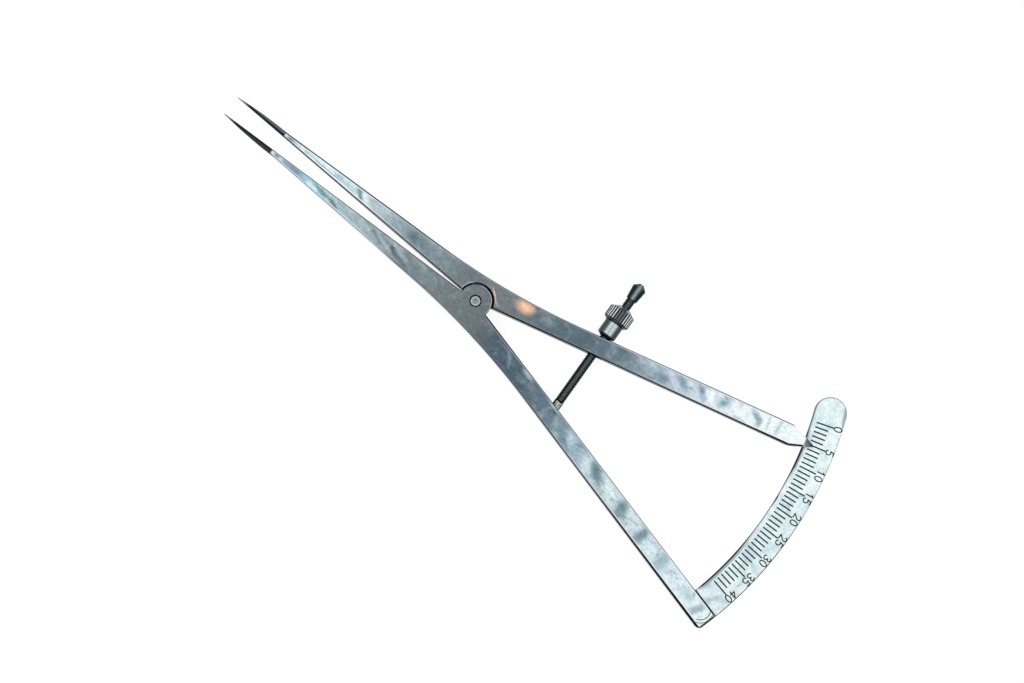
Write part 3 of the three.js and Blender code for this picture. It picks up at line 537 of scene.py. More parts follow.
POINTER_REFLECTIONS = [
    (285, 134.2, 287.5, 136.6, 4.2, (216, 224, 228), 90),
    (288, 137.2, 291.4, 140.6, 3.2, (112, 124, 130), 85),
    (304, 151, 313, 158.5, 5.5, (176, 202, 224), 80),
    (313, 158.5, 328, 171.2, 1.8, (106, 128, 138), 80),
    (327, 170, 337, 179, 1.6, (140, 160, 168), 60),
    (335.5, 173.5, 343.5, 180.5, 6, (138, 168, 190), 75),
    (341, 180.5, 352, 189, 3, (160, 188, 198), 70),
    (358.8, 188, 362, 200.5, 4.4, (104, 142, 148), 90),
    (364.2, 192, 367.5, 206.5, 5, (226, 238, 242), 85),
    (369.5, 199, 381, 208.5, 9, (172, 185, 198), 70),
    (383, 206, 390, 215, 7, (184, 206, 208), 60),
    (408, 232, 424, 249, 8, (100, 116, 124), 75),
    (428, 239.5, 440, 248.5, 3.6, (164, 178, 184), 60),
    # A warm orange patch behind the joint, and two thin pale marks beside it
    (518.1, 303.2, 532.7, 311.2, 11, (252, 197, 162), 97),
    (493.5, 289, 495.3, 297, 0.9, (240, 200, 166), 80),
    (495.4, 294, 496.8, 304.5, 0.4, (212, 204, 198), 65),
    (634, 352, 643, 359.5, 3.5, (158, 182, 196), 70),
    (639, 363, 646, 369, 5, (156, 160, 164), 60),
    (650, 362, 657, 369.5, 5, (174, 196, 206), 80),
    (657, 374, 666, 382, 8, (124, 142, 158), 80),
    (669.5, 370, 676, 385, 6, (208, 218, 226), 85),
    (679.5, 375, 687, 391, 6, (126, 152, 168), 85),
    (689, 381.5, 696, 393, 6, (206, 218, 226), 80),
    (700.5, 385, 704, 402, 5, (132, 156, 184), 85),
    (709, 389, 712, 404, 7, (240, 244, 246), 85),
    (717.5, 405.5, 731.5, 399, 9, (148, 182, 194), 90),
    (735, 406, 744, 418, 9, (242, 245, 246), 80),
    (733, 416, 745, 424, 3, (160, 186, 204), 70),
    (753, 410, 760.5, 422, 5, (138, 166, 180), 90),
    (760, 418, 757, 427, 5, (140, 166, 168), 80),
    (765, 415, 770, 430, 4, (238, 242, 246), 70),
    (771.5, 416, 766, 429, 2.2, (168, 192, 184), 70),
    (783.5, 421, 774, 434, 2.6, (170, 202, 208), 85),
]


# Each arm's tones, placed along Y in millimetres: its base of painted reflections, how much the clouds
# show, the lines of painted shade and light beside its edges with their starts and widths, its inner
# and outer side faces in painted shade and light, and its needle's middle, inner side and point
SCALE_BASE = [
    (-98, (236, 247, 247)), (-92, (230, 244, 246)), (-86, (216, 236, 240)), (-79, (212, 230, 236)),
    (-71, (200, 218, 226)), (-60, (194, 212, 218)), (-50, (180, 202, 209)), (-44, (160, 184, 194)),
    (-39, (134, 158, 170)), (-33, (112, 132, 144)), (-22, (80, 101, 113)), (-10, (84, 99, 109)),
    (-3, (107, 115, 119)), (6, (114, 124, 128)), (15, (122, 136, 142)), (24, (142, 158, 164)),
    (34, (158, 176, 182)), (42, (171, 194, 200)), (48, (179, 211, 216)), (52, (140, 174, 196)),
    (58, (140, 158, 172)), (61, (160, 172, 178)),
]
SCALE_MOTTLE = [
    (-98, 0.14), (-90, 0.32), (-60, 0.46), (-40, 0.38), (-28, 0.2), (-18, 0.16), (-8, 0.1), (0, 0.08),
    (10, 0.16), (22, 0.26), (50, 0.24), (62, 0.14),
]
SCALE_LINES = [
    ("inner", [(-98, 0)],
     [(-24, 0.02), (-18, 0.26), (-4, 0.38), (-1, 0.02)],
     [(-19, DARK_LINE), (-13, BLACK), (-1, BLACK), (2, DARK_LINE)]),
    ("inner", [(-22, 0.14), (-17, 0.3), (-4, 0.4), (0, 0.14)],
     [(-98, 0.24), (-40, 0.22), (-14, 0.2), (-6, 0.14), (6, 0.12), (62, 0.14)],
     [(-98, WHITE_LINE), (-45, LIGHT_LINE), (-30, (150, 172, 178)), (-12, (150, 160, 166)),
      (8, (130, 140, 146)), (50, LIGHT_LINE)]),
    ("outer", [(-98, 0)],
     [(-98, 0.62), (-80, 0.5), (-60, 0.38), (-46, 0.26), (-30, 0.25), (0, 0.25), (22, 0.26),
      (27, 0.02)],
     [(-98, BLACK), (-60, (30, 40, 44)), (-44, (44, 56, 62)), (-10, (66, 78, 84)),
      (0, (90, 102, 108)), (22, (76, 86, 90)), (62, LIGHT_LINE)]),
    ("outer", [(-98, 0.62), (-80, 0.5), (-60, 0.38), (-46, 0.26), (20, 0.26), (27, 0.1)],
     [(-98, 0.3), (-46, 0.24), (-34, 0.05), (18, 0.05), (24, 0.16), (32, 0.34), (62, 0.28)],
     [(-98, WHITE_LINE), (-46, LIGHT_LINE), (20, (140, 154, 160)), (28, (176, 194, 198)),
      (36, (204, 226, 230)), (62, LIGHT_LINE)]),
    ("arc", [(-98, 0.76)], [(-98, 0.24)], [(-98, (84, 102, 108))]),
    ("arc", [(-98, 0)], [(-98, 0.2)], [(-98, (112, 130, 136))]),
    ("end", [(-98, 0)], [(-98, 0.68), (-88, 0.62), (-86, 0)], [(-80, BLACK)]),
]
SCALE_FACES = (
    [(-86, BLACK), (-84, GREY_LINE), (-50, GREY_LINE), (-16, GREY_LINE), (-11, BLACK),
     (-5, BLACK), (4, GREY_LINE), (61, LIGHT_LINE), (62, (48, 56, 60))],
    [(-62, BLACK), (-50, (30, 40, 44)), (-40, (46, 56, 62)), (-12, (54, 64, 70)),
     (-2, (96, 108, 114)), (6, (126, 138, 144)), (22, (120, 132, 138)), (28, LIGHT_LINE),
     (61, LIGHT_LINE), (62, (52, 62, 66))],
)
SCALE_NEEDLE = ((52, 62, 66), (34, 40, 44), (120, 126, 128))
POINTER_BASE = [
    (-90, (240, 248, 250)), (-82, (232, 242, 246)), (-74, (232, 242, 245)), (-62, (214, 226, 234)),
    (-54, (186, 202, 212)), (-47, (160, 178, 190)), (-41, (134, 152, 162)), (-36, (102, 120, 131)),
    (-26, (91, 110, 119)), (-15, (102, 116, 124)), (-4, (119, 124, 129)), (6, (111, 123, 128)),
    (14, (127, 142, 150)), (20, (126, 144, 150)), (26, (143, 164, 170)), (31, (166, 185, 191)),
    (37, (194, 214, 219)), (44, (204, 229, 233)), (50, (214, 238, 240)), (57, (220, 234, 236)),
    (60, (150, 164, 172)), (61.5, (206, 214, 218)),
]
POINTER_MOTTLE = [
    (-90, 0.12), (-76, 0.28), (-58, 0.38), (-46, 0.38), (-36, 0.2), (-15, 0.14), (0, 0.08), (15, 0.2),
    (30, 0.2), (50, 0.16), (62, 0.12),
]
POINTER_LINES = [
    ("outer", [(-98, 0)],
     [(-50, 0.28), (-36, 0.24), (-12, 0.22), (8, 0.24), (16, 0.36), (62, 0.34)],
     [(-98, (70, 84, 88)), (-50, (84, 98, 104)), (-30, (120, 132, 138)), (4, (120, 130, 136)),
      (14, DARK_LINE)]),
    ("outer", [(-98, 0.28), (-36, 0.24), (8, 0.24), (16, 0.36)],
     [(-38, 0.2), (-20, 0.12), (8, 0.12), (30, 0.14), (40, 0.26), (53, 0.24), (57, 0.1),
      (62, 0.08)],
     [(-98, WHITE_LINE), (-45, LIGHT_LINE), (-28, (146, 160, 168)), (10, (150, 166, 172)),
      (30, LIGHT_LINE), (52, WHITE_LINE), (58, LIGHT_LINE)]),
    ("inner", [(-98, 0)],
     [(-98, 0.52), (-80, 0.5), (-70, 0.38), (-40, 0.28), (-12, 0.42), (-5, 0.55), (5, 0.2),
      (30, 0.22), (62, 0.24)],
     [(-98, BLACK), (-70, (26, 36, 40)), (-40, (26, 34, 38)), (0, BLACK), (30, DARK_LINE)]),
    ("inner", [(-98, 0.52), (-80, 0.5), (-70, 0.38), (-40, 0.28), (-12, 0.38), (5, 0.22), (62, 0.24)],
     [(-98, 0.1), (-60, 0.2), (-20, 0.12), (20, 0.14), (36, 0.28), (53, 0.3), (58, 0.14), (62, 0.1)],
     [(-98, WHITE_LINE), (-58, (196, 210, 216)), (-48, (166, 184, 192)), (-38, (122, 140, 150)),
      (-10, (130, 140, 146)), (10, (140, 152, 158)), (30, LIGHT_LINE), (40, WHITE_LINE),
      (54, WHITE_LINE), (60, LIGHT_LINE)]),
]
POINTER_FACES = (
    [(5, BLACK), (25, (18, 24, 28)), (61, (34, 44, 48)), (62, (20, 28, 32))],
    [(-98, (66, 80, 84)), (-45, (90, 104, 110)), (-30, GREY_LINE), (8, GREY_LINE), (14, DARK_LINE),
     (61, DARK_LINE), (62, (88, 100, 106))],
)
POINTER_NEEDLE = ((88, 104, 110), (34, 44, 48), (150, 156, 158))

scale_arm_steel = arm_steel(
    "scale_arm_steel", -1, SCALE_BASE, SCALE_MOTTLE, SCALE_REFLECTIONS, SCALE_LINES, SCALE_FACES, SCALE_NEEDLE,
)
pointer_arm_steel = arm_steel(
    "pointer_arm_steel", 1, POINTER_BASE, POINTER_MOTTLE, POINTER_REFLECTIONS, POINTER_LINES, POINTER_FACES,
    POINTER_NEEDLE,
)


def shade_beak(surface):
    """Painted shade on the ground facet at the pointer's tip, inside its corners given anticlockwise."""
    colour = surface.shader.inputs["Base Color"].links[0].from_socket
    facet = 1.0
    for start, finish in zip(BEAK_FACET, BEAK_FACET[1:] + BEAK_FACET[:1]):
        kept = step(inside_line(surface, start, finish), -BEAK_SOFT, BEAK_SOFT)
        facet = times(facet, kept)
    tone = along(surface, BEAK_TONES, dot(surface.place, BEAK_AHEAD), BEAK_SPAN)
    surface.paint(mix(facet, colour, tone))


shade_beak(pointer_arm_steel)


# Steel of the scale plate: pale, with painted dark and light lines where its edges catch the room

PLATE_SPAN = mm(-26, 40)
PLATE_DARK = (30, 38, 42)
PLATE_THIN = (120, 132, 138)
PLATE_COOL = (192, 224, 222)
PLATE_TONES = [
    (0.3, (180, 200, 207)), (0.45, (208, 226, 230)), (0.58, (220, 235, 238)), (0.72, (236, 246, 247)),
]
PLATE_SPECKLE = (1500, 1500, 900)
# Painted shade and light beside the plate's edges: each line's edge, start, width and tone along X,
# and its softness
PLATE_LINES = [
    ("inside", [(-26, 0.22)],
     [(-26, 0.04), (-21.3, 0.06), (-18.8, 0.7), (-8, 0.66), (-3, 0.3), (3, 0.1), (14, 0.1), (18, 0.62),
      (25, 0.66), (28, 0.3), (40, 0.2)],
     [(-26, (150, 162, 170)), (-8, (160, 172, 178)), (0, (196, 208, 212)), (14, (196, 208, 212)),
      (18, (160, 172, 178)), (26, (166, 178, 184)), (40, (190, 200, 206))], 0.16),
    ("inside", [(-26, 0)],
     [(-26, 0.04), (-21, 0.08), (-19.3, 0.36), (-8, 0.36), (-2, 0.18), (6, 0.15), (8.5, 0.34),
      (10.5, 0.15), (15, 0.22), (18, 0.42), (24.5, 0.46), (27, 0.22), (40, 0.18)],
     [(-21, PLATE_THIN), (-19.6, PLATE_DARK), (-5, PLATE_DARK), (-1, PLATE_THIN),
      (7, PLATE_THIN), (9, PLATE_DARK), (11, PLATE_THIN), (16, PLATE_DARK), (25, PLATE_DARK),
      (28, (80, 90, 96)), (40, (60, 70, 76))], 0.07),
    ("outside", [(-26, 0)],
     [(-26, 0.14), (20, 0.12), (31.5, 0.16), (33.3, 0.7), (36, 1.0), (40, 0.9)],
     [(-26, (72, 84, 90)), (3, (78, 90, 96)), (9, (122, 134, 140)), (26, (130, 142, 148)),
      (31, (160, 172, 178)), (40, (150, 162, 168))], 0.3),
    ("outside left", [(-26, 0)], [(-26, 0.2)], [(-26, (66, 78, 84))], 0.08),
    ("end", [(-26, 0)],
     [(-26, 0.3), (30, 0.34), (34, 0.24), (40, 0.2)],
     [(-26, PLATE_DARK), (30, (60, 72, 76)), (33, (96, 110, 114)), (35, (142, 156, 160)),
      (40, (120, 134, 140))], 0.1),
]
# Painted shade on the plate's side faces, along X
PLATE_SIDES = [
    (-26, (150, 162, 166)), (-21.2, (130, 142, 146)), (-19.8, (40, 48, 52)), (10, (60, 70, 76)),
    (28, (70, 80, 86)), (40, (90, 100, 106)),
]
# Where the line beside the outer edge fades out, and how soft the round end's line begins
LEFT_PART = mm(8, 2)
END_SOFT = 0.1 * MM
# The dark seam between the plate and the scale arm
SEAM_SLOPE = -0.25
SEAM = mm(0.34, 0.24)
SEAM_TONE = (36, 44, 48)


def plate_steel():
    surface = Surface("scale_plate_steel")
    colour = ramp(surface.noise(240, 3.0, 1.0), PLATE_TONES)
    cool = step(surface.noise(420, 2.0, 0.6), 0.52, 0.72)
    colour = mix(times(cool, 0.4), colour, PLATE_COOL)
    colour = freckled(colour, surface.noise(PLATE_SPECKLE), 0.3, 0.7, 0.88, 1.1)
    radius = surface.distance(PLATE_CENTRE_X)
    outside = minus(PLATE_OUTER_RADIUS, radius)
    distances = {
        "inside": minus(radius, PLATE_INNER_RADIUS),
        "outside": outside,
        "outside left": outside,
        "end": minus(PLATE_END_RADIUS, surface.distance(PLATE_END.x, PLATE_END.y)),
    }
    past = times(minus(surface.x, PLATE_END.x), PLATE_ONWARD.x)
    past = plus(past, times(minus(surface.y, PLATE_END.y), PLATE_ONWARD.y))
    shown = {
        "outside left": step(surface.x, *LEFT_PART),
        "end": step(past, -END_SOFT, END_SOFT),
    }
    # Painted shade and light beside the edges
    for edge, start, width, tone, soft in PLATE_LINES:
        kept = shown.get(edge, 1.0)
        colour = edge_line(
            surface, colour, distances[edge], start, width, tone, kept, soft, surface.x, PLATE_SPAN,
        )
    # Painted shade on the side faces
    upright = calc("ABSOLUTE", surface.normal_z)
    rim = along(surface, PLATE_SIDES, surface.x, PLATE_SPAN)
    colour = mix(step(upright, *SIDE_FACE), colour, rim)
    seam = plus(surface.x, times(surface.y, SEAM_SLOPE))
    colour = mix(step(seam, *SEAM), colour, SEAM_TONE)
    surface.paint(colour)
    surface.grain(700, 0.28, 0.42, 0.08, 0.02 * MM, 0.6)
    return surface


# Turned and blackened pieces

LATHE_SCALE = 4200
# Round the rod's axis: the nut's knurled crest, the smooth part of its head, the thread's crest
NUT_CREST = mm(3.3, 3.4)
HEAD_SMOOTH = mm(3.02, 2.94)
THREAD_CREST = mm(1.07, 1.18)
# Round an upright axis: the rivet's flat top
RIVET_FLAT = mm(0.84, 0.76)
# Along the rod, from its pin
MOUTH_RIM = (NUT_MOUTH + 0.15 * MM, NUT_MOUTH)
HEAD_FACE = (HEAD_START - 0.04 * MM, HEAD_START + 0.04 * MM)
HEAD_SHEEN = (HEAD_START, HEAD_START + 0.1 * MM)
HEAD_SHADOW_BAND = (-0.2, -0.1, 0.12, 0.22)
THREAD_START = 3.7 * MM
SHOULDER = (THREAD_START - 0.2 * MM, THREAD_START)
TONGUE_BARE = (THREAD_START + 0.12 * MM, THREAD_START)
FIRST_TURN = (THREAD_START + 0.34 * MM, THREAD_START + 0.2 * MM)
# The painted dark outline of shade at the tongue's sides, across the rod
TONGUE_LEFT = mm(0.6, 0.76)
TONGUE_RIGHT = mm(-0.84, -0.98)
# Painted shade and highlights, as tones from the side of a turned piece to its top
COLLAR_TONES = [
    (0, (20, 26, 29)), (0.42, (32, 40, 44)), (0.7, (78, 92, 98)), (0.88, (132, 148, 153)),
    (0.975, (206, 220, 221)), (1, (170, 186, 188)),
]
RIB_TONES = [
    (0, (30, 36, 40)), (0.28, (60, 68, 72)), (0.45, (190, 198, 202)), (0.58, (236, 240, 242)),
    (0.9, (240, 244, 246)), (0.95, (118, 128, 134)), (1, (106, 116, 122)),
]
GROOVE_TONES = [(0, (8, 12, 14)), (0.9, (14, 18, 22)), (0.955, (78, 88, 94)), (1, (92, 102, 108))]
SMOOTH_TONES = [(0, (60, 70, 76)), (0.8, (120, 132, 138)), (1, (168, 180, 186))]
CREST_TONES = [
    (0, (10, 12, 13)), (0.7, (14, 17, 19)), (0.8, (62, 68, 70)), (0.93, (116, 122, 124)),
    (1, (134, 140, 142)),
]
ROOT_TONES = [(0, (8, 9, 10)), (0.75, (12, 14, 15)), (0.9, (44, 49, 51)), (1, (74, 80, 82))]
STOP_TONES = [
    (0, (20, 26, 28)), (0.6, (32, 42, 43)), (0.9, (54, 66, 67)), (0.98, (92, 104, 106)),
    (1, (140, 152, 153)),
]
WASHER_TONES = [(0, (8, 10, 11)), (1, (20, 24, 26))]
# Tones by the height of a noise, then single ones
CROWN_TONES = [(0.3, (118, 124, 128)), (0.7, (142, 147, 150))]
BARE_TONES = [(0.38, (76, 82, 80)), (0.5, (140, 146, 140)), (0.6, (206, 212, 206))]
RIVET_TOP = (226, 230, 232)
LATHE_LIGHT = (96, 108, 114)
# Painted shade on the nut's end beyond the collar's mouth, toward the arm
MOUTH_SHADE = (70, 80, 86)
# Painted shadow under the head, where it meets the collar
HEAD_SHADOW_TONE = (14, 18, 20)
WORN_TONE = (40, 44, 45)
# Painted shade along the tongue's sides and at its shoulder
OUTLINE_TONE = (22, 28, 30)
FIRST_TURN_TONE = (8, 10, 11)


def from_rod(surface):
    """How far a point is from the pin along the rod's axis, and how far from that axis."""
    moved = join("VectorMath", {0: surface.place, 1: PIN}, operation="SUBTRACT").outputs[0]
    length = dot(moved, ROD_AXIS)
    on_axis = join("VectorMath", {0: ROD_AXIS, "Scale": length}, operation="SCALE").outputs[0]
    off = join("VectorMath", {0: moved, 1: on_axis}, operation="SUBTRACT").outputs[0]
    return length, length_of(off)


def turned_lines(surface, length, low, high, strength):
    """Fine rings from the lathe."""
    vector = join("CombineXYZ", {0: times(length, LATHE_SCALE)}).outputs[0]
    rings = noise(vector, 3.0)
    surface.relief(rings, low, high, strength, 0.02 * MM)
    return rings


def height_share(surface, radius):
    """1 on top of a piece turned round the rod's axis, and 0 at its side."""
    up = minus(surface.z, PIN.z)
    return calc("ABSOLUTE", calc("DIVIDE", up, radius))


def nut_steel():
    surface = Surface("thumb_nut_steel")
    length, radius = from_rod(surface)
    rings = turned_lines(surface, length, 0.24, 0.4, 0.25)
    share = height_share(surface, radius)
    # Painted shade and highlights round the collar and the knurled head, by height
    collar = ramp(share, COLLAR_TONES)
    collar = mix(times(step(rings, 0.48, 0.62), 0.45), collar, LATHE_LIGHT)
    # Painted shade on the nut's end beyond the collar's mouth, toward the arm
    collar = mix(step(length, *MOUTH_RIM), collar, MOUTH_SHADE)
    crest = step(radius, *NUT_CREST)
    head = mix(crest, ramp(share, GROOVE_TONES), ramp(share, RIB_TONES))
    head = mix(step(radius, *HEAD_SMOOTH), head, ramp(share, SMOOTH_TONES))
    colour = mix(step(length, *HEAD_FACE), collar, head)
    # Painted shadow under the head, where it meets the collar
    from_head = minus(length, HEAD_START)
    colour = mix(between(from_head, *HEAD_SHADOW_BAND), colour, HEAD_SHADOW_TONE)
    surface.paint(colour)
    # Painted highlight: the crests on the head's sides, away from its top and bottom, lose most of their
    # metal so that they show their painted rib tones evenly
    wear_and_sheen = times(crest, step(share, 0.96, 0.92))
    wear_and_sheen = times(wear_and_sheen, step(length, *HEAD_SHEEN))
    surface.link(minus(1.0, times(wear_and_sheen, 0.75)), "Metallic")
    return surface


def plain_turned(name, stops, low, high):
    surface = Surface(name)
    length, radius = from_rod(surface)
    rings = turned_lines(surface, length, low, high, 0.2)
    # Painted shade and highlights, by height
    colour = ramp(height_share(surface, radius), stops)
    darkest = stops[0][1]
    colour = mix(times(step(rings, 0.5, 0.7), 0.3), colour, darkest)
    surface.paint(colour)
    return surface


def rivet_steel():
    surface = Surface("pivot_rivet_steel")
    flat_top = step(surface.distance(), *RIVET_FLAT)
    crown = ramp(surface.noise(1400), CROWN_TONES)
    surface.paint(mix(flat_top, RIVET_TOP, crown))
    surface.link(remap(flat_top, to_low=0.15), "Metallic")
    surface.grain(2000, 0.22, 0.36, 0.1, 0.01 * MM)
    return surface


def thread_steel():
    surface = Surface("threaded_rod_black")
    length, radius = from_rod(surface)
    share = height_share(surface, radius)
    flank = step(radius, *THREAD_CREST)
    # Painted shade and highlights on the thread's roots and crests, by height
    colour = mix(flank, ramp(share, ROOT_TONES), ramp(share, CREST_TONES))
    wear_and_sheen = times(step(surface.noise(900), 0.5, 0.7), 0.3)
    colour = mix(wear_and_sheen, colour, WORN_TONE)
    bare = ramp(surface.noise(3200), BARE_TONES)
    # Painted shade along the tongue's sides and at its shoulder
    across = minus(dot(surface.place, ROD_SIDE), PIN.dot(ROD_SIDE))
    left, right = step(across, *TONGUE_LEFT), step(across, *TONGUE_RIGHT)
    outline = calc("MAXIMUM", calc("MAXIMUM", left, right), step(length, *SHOULDER))
    bare = mix(outline, bare, OUTLINE_TONE)
    colour = mix(step(length, *FIRST_TURN), colour, FIRST_TURN_TONE)
    surface.paint(mix(step(length, *TONGUE_BARE), colour, bare))
    surface.grain(1800, 0.3, 0.5, 0.12, 0.01 * MM)
    return surface


def give(node, surface):
    """Puts the material on every slot of a carried-over node."""
    shown = NODES[node]
    if not shown.material_slots:
        shown.data.materials.append(surface.material)
    for slot in shown.material_slots:
        slot.material = surface.material


give("scale_arm", scale_arm_steel)
give("pointer_arm", pointer_arm_steel)
give("scale_plate", plate_steel())
give("pivot_rivet", rivet_steel())
give("rod_hinge_pin", scale_arm_steel)
give("thumb_nut", nut_steel())
give("rod_end_stop", plain_turned("rod_end_stop_gunmetal", STOP_TONES, 0.28, 0.42))
give("seat_washer", plain_turned("seat_washer_black", WASHER_TONES, 0.35, 0.5))


# The rod with its flat tongue, its thread cut as a helix

THREAD_PITCH = 0.45 * MM
THREAD_DEPTH = 0.15 * MM
THREAD_SEGMENTS = 24
THREAD_RISE = THREAD_PITCH * 1.2
THREAD_RUN_OUT = THREAD_PITCH * 0.4
# Place along one pitch and share of the thread's depth
THREAD_PROFILE = [(0, 0), (0.12, 0), (0.42, 1), (0.6, 1), (0.92, 0.12)]
# The solid core inside the thread, and how far the tongue reaches into it
CORE_GAP = 0.01 * MM
CORE_SEGMENTS = 32
TONGUE_LAP = 0.1 * MM
TONGUE_SEGMENTS = 64
SHARP_ANGLE = radians(28)


def full_turn(count):
    return [2 * pi * k / count for k in range(count)]


def skin(mesh, rows, count, capped=False):
    """So many faces between each row of points and the next, and one over each end if capped."""
    for first, second in zip(rows, rows[1:]):
        for k in range(count):
            n = (k + 1) % len(first)
            mesh.faces.new((first[k], second[k], second[n], first[n]))
    if capped:
        mesh.faces.new(rows[0])
        mesh.faces.new(list(reversed(rows[-1])))


def thread_mesh(start, end, radius):
    """A helical ridge round the X axis, which rises at its start and runs out at its end."""
    mesh = bmesh.new()
    turns = int((end - start) / THREAD_PITCH)
    rows = []
    for k in range(turns * THREAD_SEGMENTS + 1):
        angle = 2 * pi * k / THREAD_SEGMENTS
        row = []
        for place, share in THREAD_PROFILE:
            x = start + THREAD_PITCH * (k / THREAD_SEGMENTS + place)
            taper = min(1.0, (x - start) / THREAD_RISE, (end - x) / THREAD_RUN_OUT)
            depth = THREAD_DEPTH * (1 - share * max(0.0, taper))
            r = radius - depth
            row.append(mesh.verts.new((min(x, end), r * cos(angle), r * sin(angle))))
        rows.append(row)
    skin(mesh, rows, len(THREAD_PROFILE) - 1)
    for k in range(len(rows) - THREAD_SEGMENTS):
        if k + 1 + THREAD_SEGMENTS < len(rows):
            ahead, after = rows[k + THREAD_SEGMENTS], rows[k + 1 + THREAD_SEGMENTS]
            mesh.faces.new((rows[k][-1], rows[k + 1][-1], after[0], ahead[0]))
    return mesh


def lathe(profile, segments):
    """A turned surface round the X axis from [place, radius] pairs."""
    mesh = bmesh.new()
    rings = []
    for x, r in profile:
        rings.append([mesh.verts.new((x, r * cos(a), r * sin(a))) for a in full_turn(segments)])
    skin(mesh, rings, segments, True)
    return mesh


def tongue_mesh(cut):
    """The rod's flat tongue, from its round end about the pin to where the thread starts."""
    half, side = TONGUE_WIDTH / 2, TONGUE_THICKNESS / 2
    corner = atan2(half, cut)
    angles = sorted(full_turn(TONGUE_SEGMENTS) + [corner, 2 * pi - corner])

    def rim(angle):
        ahead, aside = cos(angle), abs(sin(angle))
        return min(cut / max(ahead, 1e-6), half / max(aside, 1e-6)) if ahead > 0 else half

    mesh = bmesh.new()
    loops = []
    flank, inset = side - TONGUE_CHAMFER, TONGUE_CHAMFER
    for inwards, z in ((None, side), (inset, side), (0, flank), (0, -flank), (inset, -side), (None, -side)):
        reach = [TONGUE_HOLE_RADIUS if inwards is None else rim(angle) - inwards for angle in angles]
        loops.append([mesh.verts.new((r * cos(a), r * sin(a), z)) for r, a in zip(reach, angles)])
    skin(mesh, loops + loops[:1], len(angles))
    return mesh


def object_from(name, meshes, matrix=Matrix.Identity(4)):
    whole = bmesh.new()
    for mesh in meshes:
        data = bpy.data.meshes.new(name + "_part")
        mesh.to_mesh(data)
        mesh.free()
        whole.from_mesh(data)
        bpy.data.meshes.remove(data)
    whole.transform(matrix)
    bmesh.ops.recalc_face_normals(whole, faces=whole.faces[:])
    data = bpy.data.meshes.new(name)
    whole.to_mesh(data)
    whole.free()
    made = bpy.data.objects.new(name, data)
    bpy.context.scene.collection.objects.link(made)
    return made


def threaded_rod():
    far = max((ROD_FRAME.inverted() @ v.co).x for v in NODES["threaded_rod"].data.vertices)
    shoulder = far - SPIGOT_LENGTH
    core = ROD_RADIUS - THREAD_DEPTH - CORE_GAP
    profile = [(THREAD_START, core), (shoulder, core), (shoulder, SPIGOT_RADIUS), (far, SPIGOT_RADIUS)]
    body = lathe(profile, CORE_SEGMENTS)
    ridge = thread_mesh(THREAD_START, shoulder, ROD_RADIUS)
    tongue = tongue_mesh(THREAD_START + TONGUE_LAP)
    rod = object_from("rod_with_thread", [tongue, body, ridge], ROD_FRAME)
    rod.data.materials.append(thread_steel().material)
    for polygon in rod.data.polygons:
        polygon.use_smooth = True
    rod.data.set_sharp_from_angle(angle=SHARP_ANGLE)
    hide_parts("threaded_rod")
    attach(rod, "screw")


threaded_rod()


# The engraved scale, its angles measured from straight behind the pivot

FIRST_ANGLE = radians(19.36)
LAST_READING = 40
MAJOR_STEP = 5
MARK_START = mm(89.6, 90.4)
MINOR_LENGTH = 3.15 * MM
MAJOR_LENGTH = 4.3 * MM
STROKE = 0.37 * MM
DIGIT_STROKE = 0.3 * MM
DIGIT_WIDTH = 1.15 * MM
DIGIT_HEIGHT = 1.95 * MM
DIGIT_PITCH = 1.6 * MM
DIGIT_OFFSET = 5.5 * MM
# The last two numbers stand a little back from their marks
NUMBER_SHIFT = {35: -0.2 * MM, 40: -0.6 * MM}
MARK_TOP = PLATE_TOP + 0.012 * MM
MARK_FOOT = PLATE_TOP - 0.02 * MM
# Share of its width by which a stroke's ends run on, and points between two of a digit's
RUN_ON = 0.35
CURVE_STEPS = 4
FILL_TONES = [(0.3, (28, 35, 39)), (0.7, (66, 75, 80))]
# Each digit's strokes, in a box one wide and one high
DIGITS = {
    "0": [[(0.5, 1), (0.16, 0.86), (0.02, 0.5), (0.16, 0.14), (0.5, 0), (0.84, 0.14), (0.98, 0.5),
           (0.84, 0.86), (0.5, 1)]],
    "1": [[(0.22, 0.74), (0.42, 0.84), (0.56, 1)], [(0.56, 1), (0.56, 0)]],
    "2": [[(0.05, 0.76), (0.14, 0.93), (0.42, 1), (0.74, 0.95), (0.9, 0.76), (0.8, 0.54), (0.4, 0.28),
           (0.03, 0)], [(0.03, 0), (0.96, 0)]],
    "3": [[(0.07, 0.84), (0.25, 0.97), (0.52, 1), (0.8, 0.92), (0.87, 0.74), (0.72, 0.58), (0.42, 0.54)],
          [(0.42, 0.54), (0.78, 0.48), (0.95, 0.28), (0.82, 0.08), (0.5, 0), (0.2, 0.04), (0.04, 0.18)]],
    "4": [[(0.72, 0), (0.72, 1)], [(0.72, 1), (0.02, 0.3)], [(0.02, 0.3), (1, 0.3)]],
    "5": [[(0.9, 1), (0.2, 1)], [(0.2, 1), (0.1, 0.54)],
          [(0.1, 0.54), (0.35, 0.63), (0.66, 0.62), (0.9, 0.48), (0.96, 0.3), (0.84, 0.09), (0.5, 0),
           (0.2, 0.03), (0.02, 0.16)]],
}


def mark_angle(reading):
    return FIRST_ANGLE - 2 * asin(reading * MM / (2 * TIP_RADIUS))


def eased(p, q, r, s, t):
    """The place a share t of the way from q to r, on a smooth curve through all four."""
    bend, turn = 2 * p - 5 * q + 4 * r - s, 3 * q - p - 3 * r + s
    return 0.5 * (2 * q + (r - p) * t + bend * t ** 2 + turn * t ** 3)


